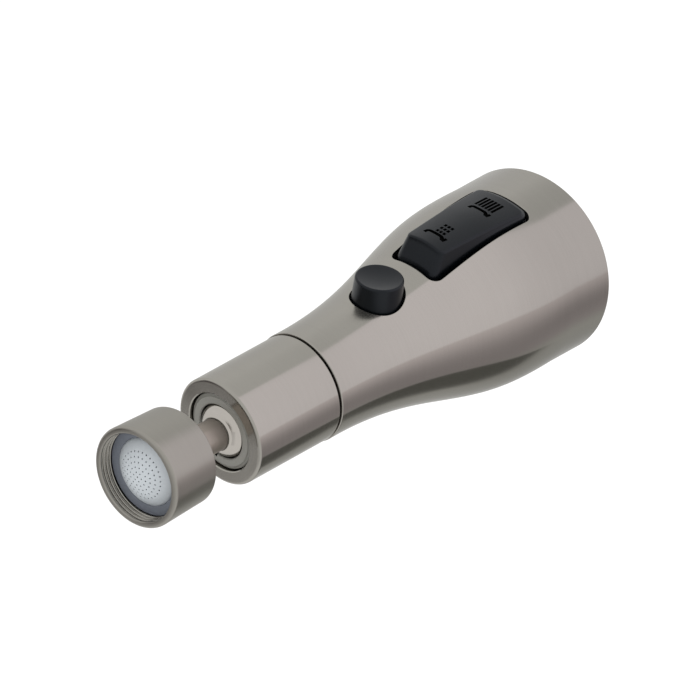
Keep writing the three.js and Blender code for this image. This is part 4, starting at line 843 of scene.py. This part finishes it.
# ---- Pause button ---------------------------------------------------------------------------
def make_button():
    rim = BUTTON_RIM - BUTTON_EDGE
    sphere = (rim**2 + BUTTON_DISH**2) / (2 * BUTTON_DISH)
    opening = math.degrees(math.asin(rim / sphere))
    centre = BUTTON_TOP - BUTTON_DISH + sphere
    dish = arc(centre, 0, sphere, 180 - opening, 180, 14)
    roof = BUTTON_TOP - BUTTON_DISH - BUTTON_ROOF
    flange_top = BUTTON_FOOT + BUTTON_FLANGE_THICKNESS
    profile = [
        (roof, 0),
        (roof, BUTTON_BORE),
        (BUTTON_FOOT, BUTTON_BORE),
        (BUTTON_FOOT, BUTTON_FLANGE),
        (flange_top, BUTTON_FLANGE),
        (flange_top, BUTTON_BASE),
        *arc(BUTTON_TOP - BUTTON_EDGE, BUTTON_RIM - BUTTON_EDGE, BUTTON_EDGE, 88, 8, 8),
        *dish[:-1],
        (BUTTON_TOP - BUTTON_DISH, 0),
    ]
    button = lathe("button_skin", profile, CHARCOAL)
    upright = Quaternion((0, 1, 0), math.radians(-90)).to_matrix().to_4x4()
    button.matrix_world = Matrix.Translation(Vector((BUTTON_X, 0, 0)) * MM) @ upright
    place(button, "pause_button", "charcoal_plastic", "pause_button")


def make_spring(node, wire, axis, centre):
    """Coil of its CAD node's size."""
    start, end = low(node, axis), high(node, axis)
    mean = high(node, 1) - wire
    count = SPRING_TURNS * SPRING_STEPS
    rings = []
    for k in range(count + 1):
        turn = 2 * math.pi * k / SPRING_STEPS
        along = start + wire + (end - start - 2 * wire) * k / count
        ring = [
            (r * math.cos(turn), r * math.sin(turn), h)
            for r, h in circle(mean, along, wire, WIRE_SIDES)
        ]
        rings.append([(h, u, v) if axis == 0 else (centre + u, v, h) for u, v, h in ring])
    spring = place(loft(node + "_skin", rings, STEEL), "handle", "steel", node)
    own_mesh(spring)


make_button()
make_spring("pause_spring", PAUSE_WIRE, 2, BUTTON_X)
make_spring("check_spring", CHECK_WIRE, 0, 0.0)


# ---- Rocker ---------------------------------------------------------------------------------
def rocker_top(x, y):
    run = x - KINK_X
    bend = math.sqrt(run**2 + SOFTNESS**2) - SOFTNESS
    ridge = KINK_Z + (SLOPE_FRONT + SLOPE_REAR) / 2 * run + (SLOPE_REAR - SLOPE_FRONT) / 2 * bend
    growth = (CREST["half_rear"] - CREST["half_front"]) / (CREST["rear"] - CREST["front"])
    half = CREST["half_front"] + growth * (x - CREST["front"])
    return ridge + ROCKER_CROWN * (1 - (y / half) ** 2)


def skirt_height(x):
    share = (x - FOOT["front"]) / (FOOT["rear"] - FOOT["front"])
    return SKIRT_FRONT + (SKIRT_REAR - SKIRT_FRONT) * share


def top_ring(outline, share, drop=0.0):
    centre = (CREST["front"] + CREST["rear"]) / 2
    ring = [(centre + (x - centre) * share, y * share) for x, y in outline]
    return [(x, y, rocker_top(x, y) - drop) for x, y in ring]


def rocker_outside():
    foot = rounded_trapezoid(FOOT)
    crest = rounded_trapezoid(CREST)
    low_ring = np.array([(x, y, shell_height(x, y)) for x, y in foot])
    high_ring = np.array([(x, y, rocker_top(x, y) - ROCKER_EDGE) for x, y in crest])
    rings = [[(x, y, skirt_height(x)) for x, y in foot]]
    rise = high_ring - low_ring
    rings += [(low_ring + rise * share).tolist() for share in np.linspace(0, 1, 9)]
    for angle in np.radians((18, 36, 54, 72, 90)):
        inset = ROCKER_EDGE * (1 - math.cos(angle))
        drop = ROCKER_EDGE * (1 - math.sin(angle))
        outline = rounded_trapezoid(CREST, inset)
        rings.append([(x, y, rocker_top(x, y) - drop) for x, y in outline])
    flat = rounded_trapezoid(CREST, ROCKER_EDGE)
    shares = (0.97, 0.92, 0.84, 0.74, 0.62, 0.5, 0.38, 0.26, 0.13)
    rings += [top_ring(flat, share) for share in shares]
    return loft("rocker_skin", rings, CHARCOAL)


def rocker_hollow():
    foot = rounded_trapezoid(FOOT, ROCKER_WALL)
    crest = rounded_trapezoid(CREST, ROCKER_WALL)
    # The rocker's inside is painted shade black.
    return loft(
        "hollow",
        [
            [(x, y, skirt_height(x) - 1) for x, y in foot],
            [(x, y, skirt_height(x) + 1) for x, y in foot],
            [(x, y, rocker_top(x, y) - ROCKER_ROOF) for x, y in crest],
            top_ring(crest, 0.5, ROCKER_ROOF),
        ],
        PAINTED_SHADE_BLACK,
    )


def slab(name, outline, width, material):
    """An outline of (x, z) points, counter-clockwise seen from -Y, with a width along Y."""
    rings = [[(x, y, z) for x, z in outline] for y in (width / 2, -width / 2)]
    return loft(name, rings, material)


def rocker_lever():
    x, z = PIVOT
    half, top = LEVER_HALF, rocker_top(x, 0) - LEVER_SINK
    stalk = [(x - half, top), *arc(x, LEVER_TIP + half, half, 180, 360, 12), (x + half, top)]
    lever = slab("lever", stalk, LEVER_WIDTH, CHARCOAL)
    hub = slab("hub", circle(x, z, HUB_RADIUS, 48), LEVER_WIDTH, CHARCOAL)
    boolean(lever, hub, "UNION")
    return boolean(lever, slab("pin_hole", circle(x, z, PIN_HOLE, 24), LEVER_WIDTH + 2, CHARCOAL))


def stroke(points, width):
    """Cutter for one pictogram line: its floor follows the rocker's top."""
    path = np.array(points, float)
    step = np.diff(path, axis=0)
    way = step / np.linalg.norm(step, axis=1)[:, None]
    bisector = np.vstack([way[:1], (way[:-1] + way[1:]) / 2, way[-1:]])
    bisector /= np.linalg.norm(bisector, axis=1)[:, None]
    side = np.stack([-bisector[:, 1], bisector[:, 0]], axis=1) * width / 2
    rows = []
    for point, s in zip(path, side):
        edge = [point - s, point + s]
        floor = [(x, y, rocker_top(x, y) - ICON_DEPTH) for x, y in edge]
        rows.append([floor[0], floor[1], (*edge[1], KINK_Z + 3), (*edge[0], KINK_Z + 3)])
    return loft("stroke", rows[::-1], ICON_FLOOR_BLACK)


def spout_bar(x, top, bottom):
    """A spout seen from the side: a bar with a short neck at one end and a hook at the other."""
    neck = [(x - 1.3, top + 0.45), (x - 0.3, top + 0.25), (x, top - 0.2)]
    hook = [(x, bottom + 0.3), (x - 0.35, bottom - 0.3), (x - 1.1, bottom - 0.85)]
    return stroke(neck + hook, BAR_WIDTH)


def spout_foot(x, bottom):
    return stroke([(x - 1.35, bottom - 1.0), (x + 0.35, bottom - 1.35)], FOOT_WIDTH)


def pictograms():
    """Two sets of cutters, so that none crosses another of its own set."""
    spray = [
        stroke([(x, y), (x + DASH_LENGTH, y)], DASH_WIDTH)
        for x in (75.2, 76.8, 78.4)
        for y in (0.85, -0.25, -1.35)
    ]
    jets = [
        stroke([(JET_START, y), (JET_END, y)], JET_WIDTH)
        for y in (2.5, 1.42, 0.35, -0.72, -1.79, -2.86)
    ]
    bars = [spout_bar(74.3, 2.55, -1.8), spout_bar(91.45, 2.15, -2.1)]
    return spray + jets + bars, [spout_foot(74.3, -1.8), spout_foot(91.45, -2.1)]


def make_rocker():
    rocker = boolean(rocker_outside(), rocker_hollow())
    for marks in pictograms():
        boolean(rocker, merge("icons", marks))
    plain_normals(rocker, 38)
    lever = plain_normals(rocker_lever(), 38)
    place(merge("rocker_skin", [rocker, lever]), "rocker", "charcoal_plastic", "rocker_button")


make_rocker()


# ---- Spray face -------------------------------------------------------------------------------
nozzle_places = [
    (radius * math.cos(2 * math.pi * i / count), radius * math.sin(2 * math.pi * i / count))
    for radius, count in NOZZLE_RINGS
    for i in range(count)
]


def moved(piece, y, z):
    piece.data.transform(Matrix.Translation(Vector((0, y, z)) * MM))
    return piece


def make_plate():
    opening = AERATOR_RADIUS + GAP
    profile = [
        (PLATE_BACK, opening),
        (PLATE_BACK, PLATE_RADIUS),
        (PLATE_FRONT - 0.2, PLATE_RADIUS),
        (PLATE_FRONT, PLATE_RADIUS - 0.2),
        (PLATE_FRONT, 22.4),
        (PLATE_FRONT - 0.25, 22.2),
        (PLATE_FRONT - 0.25, 21.9),
        (PLATE_FRONT, 21.7),
        (PLATE_FRONT, opening + 1.3),
        (PLATE_FRONT - 0.3, opening + 1.0),
        (PLATE_FRONT - 0.3, opening),
    ]
    plate = lathe("plate_skin", profile, DARK_PLASTIC, SMALL_SEGMENTS)
    hole = circle(0, 0, NOZZLE_HOLE, 20)
    holes = [
        loft("hole", through(y, z, hole, PLATE_FRONT + 1, PLATE_BACK - 1), DARK_PLASTIC)
        for y, z in nozzle_places
    ]
    boolean(plate, merge("holes", holes))
    place(plain_normals(plate, 30), "handle", "dark_plastic", "spray_plate")


def make_nozzles():
    sheet_front = PLATE_BACK - GAP
    sheet = lathe(
        "nozzle_skin",
        [
            (MAT_BACK, AERATOR_RADIUS + GAP),
            (MAT_BACK, PLATE_RADIUS),
            (sheet_front, PLATE_RADIUS),
            (sheet_front, AERATOR_RADIUS + GAP),
        ],
        NOZZLE_RUBBER,
        SMALL_SEGMENTS,
    )
    profile = [
        (NOZZLE_TIP - NOZZLE_BORE_DEPTH, 0),
        (NOZZLE_TIP - NOZZLE_BORE_DEPTH, NOZZLE_BORE),
        (NOZZLE_TIP - 0.12, NOZZLE_BORE),
        (NOZZLE_TIP, 0.5),
        *arc(NOZZLE_TIP - 0.2, 0.72, 0.2, 0, 75, 4),
        (PLATE_FRONT + 0.3, 1.22),
        (sheet_front - 0.2, 1.3),
        (sheet_front - 0.2, 0),
    ]
    nozzles = [
        moved(lathe("nozzle", profile[::-1], NOZZLE_RUBBER, 24), y, z) for y, z in nozzle_places
    ]
    place(merge("nozzle_skin", [sheet] + nozzles), "handle", "nozzle_rubber", "nozzle_mat")


def make_face_ring():
    outer = FACE_BORE - GAP
    front = high("face_ring")
    inner = outer - 1.6
    profile = [
        (MAT_BACK, inner),
        (MAT_BACK, outer),
        *arc(front - 0.45, outer - 0.45, 0.45, 90, 0, 5),
        (front, outer - 1.9),
        *arc(front - 0.3, outer - 1.95, 0.3, 90, 160, 4)[1:],
        (PLATE_FRONT + GAP, outer - 2.6),
        (PLATE_FRONT + GAP, inner),
    ]
    place(lathe("face_ring_skin", profile, DARK_PLASTIC), "handle", "dark_plastic", "face_ring")


def make_aerator():
    bore = AERATOR_RADIUS - 1.4
    lip = bore - 0.9
    profile = [
        (AERATOR_BACK, bore),
        (AERATOR_BACK, AERATOR_RADIUS),
        *arc(AERATOR_FRONT - 0.4, AERATOR_RADIUS - 0.4, 0.4, 90, 0, 5),
        *arc(AERATOR_FRONT - 0.25, lip + 0.25, 0.25, 0, -90, 4),
        (AERATOR_FRONT - 1.1, lip),
        (AERATOR_FRONT - 1.1, bore),
    ]
    housing = lathe("aerator_skin", profile, DARK_PLASTIC, SMALL_SEGMENTS)
    place(housing, "handle", "dark_plastic", "aerator_housing")


def make_aerator_screen():
    """Fine honeycomb inside a plain rim."""
    back, front = low("aerator_screen"), high("aerator_screen")
    outer = high("aerator_screen", 1)
    section = [(back, 0), (back, outer), (front, outer), (front, 0)]
    disc = lathe("aerator_screen_skin", section, MOULDED_GREY, SMALL_SEGMENTS)
    hexagon = [
        (CELL_RADIUS * math.sin(a), CELL_RADIUS * math.cos(a))
        for a in np.radians(np.arange(360, 0, -60))
    ]
    cells = []
    for row in range(-CELL_ROWS, CELL_ROWS + 1):
        for column in range(-CELL_ROWS, CELL_ROWS + 1):
            y = (column + 0.5 * (row % 2)) * CELL_PITCH
            z = row * CELL_PITCH * math.sqrt(3) / 2
            if math.hypot(y, z) < outer - SCREEN_RIM:
                cell = through(y, z, hexagon, back - 1, front + 1)
                # Cell walls are painted shade black.
                cells.append(loft("cell", cell, PAINTED_SHADE_BLACK))
    boolean(disc, merge("cells", cells))
    place(plain_normals(disc, 30), "handle", "moulded_grey", "aerator_screen")


make_plate()
make_nozzles()
make_face_ring()
make_aerator()
make_aerator_screen()


# ---- Stage, light and camera --------------------------------------------------------------------
def make_floor():
    height, reach = -200.0, 12000.0
    g = Graph("pale_floor")
    g.set(Base_Color=(1, 1, 1, 1), Roughness=1, Specular_IOR_Level=0)
    corners = [(x, y, height) for x, y in arc(0, 0, reach * math.sqrt(2), 225, 495, 3)]
    floor = new_object("floor", corners, [(0, 1, 2, 3)], g.material)
    floor.visible_glossy = False


def make_card(name, corners, faces, radiance):
    """Card that only reflections see, with plain emission made by radiance(graph)."""
    g = Graph(name)
    g.tree.nodes.clear()
    shader = g.node("ShaderNodeEmission")
    g.feed(shader.inputs["Color"], radiance(g))
    output = g.node("ShaderNodeOutputMaterial")
    g.feed(output.inputs["Surface"], shader.outputs[0])
    g.material.cycles.emission_sampling = "NONE"
    card = new_object(name, corners, faces, g.material)
    card.visible_camera = False
    card.visible_diffuse = False
    card.visible_shadow = False


def tinted(value, red=1.0, blue=1.0):
    return (value * red, value, value * blue, 1)


def make_tent():
    """Card bent round the handle at arm's length, from overhead down the near side, under the
    handle and up the far side. Its tone runs with the angle below the near horizon: a bright
    wall, a dark underside and a darker strip that ends in a point."""
    radius = 300.0
    first, last = -137.0, 172.0
    ends = (50.0, 900.0)
    steps = 151
    corners = []
    for k in range(steps + 1):
        angle = math.radians(180 + first + (last - first) * k / steps)
        corners += [(x, radius * math.cos(angle), radius * math.sin(angle)) for x in ends]
    faces = [(2 * k, 2 * k + 1, 2 * k + 3, 2 * k + 2) for k in range(steps)]
    wall = ((-86.5, 1.3), (-25, 1.29), (-0.4, 1.26))
    hose_side = (
        *((4, 0.92), (9, 0.8), (17, 0.63), (25, 0.51), (33, 0.45), (41, 0.43), (64, 0.45)),
        *((70, 0.6), (80, 0.68), (88, 0.72), (96, 0.77), (104, 0.84), (112, 0.93)),
        *((120, 1.0), (139, 0.8), (last, 1.0)),
    )
    overhead = ((first, 1), (-120, 0.97), (-87.5, 0.97))
    dusk = ((first, 1), (-125, 0.9), (-113, 0.83), (-102, 0.81), (-87.5, 0.76))
    spray_side = (
        *((4, 0.8), (9, 0.67), (17, 0.5), (25, 0.43), (33, 0.45), (41, 0.5), (50, 0.62)),
        *((56, 0.66), (64, 0.64), (72, 0.62), (88, 0.65), (96, 0.68), (112, 0.76)),
        *((120, 0.82), (139, 0.8), (last, 1.0)),
    )

    def stops(upper, lower, gain):
        above = [(a, tinted(v)) for a, v in upper]
        above += [(a, tinted(v * gain, 1.045, 1.05)) for a, v in wall]
        below = [
            (a, tinted(v, 1.09, 1.04) if a < 45 else tinted(v, 1.0, 0.97)) for a, v in lower
        ]
        edge = (0.4, tinted(lower[0][1] + 0.07, 1.09, 1.04))
        return [((a - first) / (last - first), colour) for a, colour in [*above, edge, *below]]

    def radiance(g):
        parts = g.split(g.node("ShaderNodeTexCoord").outputs["Object"])
        below = g.math("MULTIPLY", parts["Z"], -1.0)
        toward = g.math("MULTIPLY", parts["Y"], -1.0)
        angle = g.math("MULTIPLY", g.math("ARCTAN2", below, toward), 180 / math.pi)
        edge = g.remap(parts["X"], -2.7, 4.0, 0.2, 0.385)
        past_first = g.math("SUBTRACT", g.math("SUBTRACT", angle, edge), first)
        share = g.math("DIVIDE", past_first, last - first)
        hose_end = g.ramp(share, stops(overhead, hose_side, 1.0))
        spray_end = g.ramp(share, stops(dusk, spray_side, 0.86))
        tone = g.mix(g.remap(parts["X"], 0.0, 1.0, 0.16, 0.36), hose_end, spray_end)
        strip_top = g.remap(parts["X"], 41.2, 55.0, 0.174, 0.36)
        strip_bottom = g.remap(parts["X"], 70.5, 48.9, 0.206, 0.36)
        under_top = g.remap(g.math("SUBTRACT", angle, strip_top), 0.0, 1.0, 0.0, 0.8)
        over_bottom = g.remap(g.math("SUBTRACT", strip_bottom, angle), 0.0, 1.0, 0.0, 0.8)
        strip = g.math("MULTIPLY", under_top, over_bottom)
        return g.mix(strip, tone, tinted(0.17, 1.0, 0.93))

    make_card("tent_card", corners, faces, radiance)


def make_end_card():
    """Upright card beyond the hose end, lighter towards its near edge."""
    x = -1500.0
    corners = [(x, -1400, -1700), (x, 2600, -1700), (x, 2600, 300), (x, -1400, 300)]
    bright = [(0, tinted(0.8)), (0.52, tinted(0.75))]
    dark = [(0.6, tinted(0.16, 1.12)), (1, tinted(0.1, 1.1))]

    def radiance(g):
        parts = g.split(g.node("ShaderNodeTexCoord").outputs["Object"])
        return g.ramp(g.remap(parts["Y"], 0.0, 1.0, -1.0, 2.4), bright + dark)

    make_card("hose_end_card", corners, [(0, 1, 2, 3)], radiance)


def make_softbox():
    """Long softbox over the near side, from overhead down to the horizon. Metal doesn't
    reflect it: the cards are there for that."""
    reach, radiance = 1.5, 0.31
    top, bottom = math.radians(88), math.radians(178)
    a = Vector((0, math.cos(top), math.sin(top))) * reach
    b = Vector((0, math.cos(bottom), math.sin(bottom))) * reach
    light = bpy.data.lights.new("softbox", "AREA")
    light.shape = "RECTANGLE"
    light.size = 4.2
    light.size_y = (a - b).length
    light.energy = radiance * math.pi * light.size * light.size_y
    light.color = (1.05, 1.0, 1.02)
    lamp = bpy.data.objects.new("softbox", light)
    bpy.context.scene.collection.objects.link(lamp)
    centre = (a + b) / 2 + Vector((0.4, 0, 0))
    back = Vector((0, centre.y, centre.z)).normalized()
    up = back.cross(X_AXIS)
    turn = Matrix((X_AXIS, up, back)).transposed().to_4x4()
    lamp.matrix_world = Matrix.Translation(centre) @ turn
    lamp.visible_camera = False
    lamp.visible_glossy = False


def make_world():
    world = bpy.data.worlds.new("white_tent")
    bpy.context.scene.world = world
    world.use_nodes = True
    background = world.node_tree.nodes["Background"]
    background.inputs["Color"].default_value = (1, 1, 1, 1)
    background.inputs["Strength"].default_value = 1


def make_camera():
    """Where the photograph was taken from, solved from the handle's outline."""
    data = bpy.data.cameras.new("camera")
    data.sensor_width = 36
    data.lens = 88.373
    camera = bpy.data.objects.new("camera", data)
    bpy.context.scene.collection.objects.link(camera)
    right = Vector((0.674403, -0.731178, 0.102760)).normalized()
    back = Vector((-0.639583, -0.508953, 0.576108)).normalized()
    up = back.cross(right)
    turn = Matrix((right, up, back)).transposed().to_4x4()
    camera.matrix_world = Matrix.Translation((-0.230318, -0.219279, 0.251589)) @ turn
    bpy.context.scene.camera = camera


make_floor()
make_tent()
make_end_card()
make_softbox()
make_world()
make_camera()
bpy.context.scene.view_settings.view_transform = "Standard"
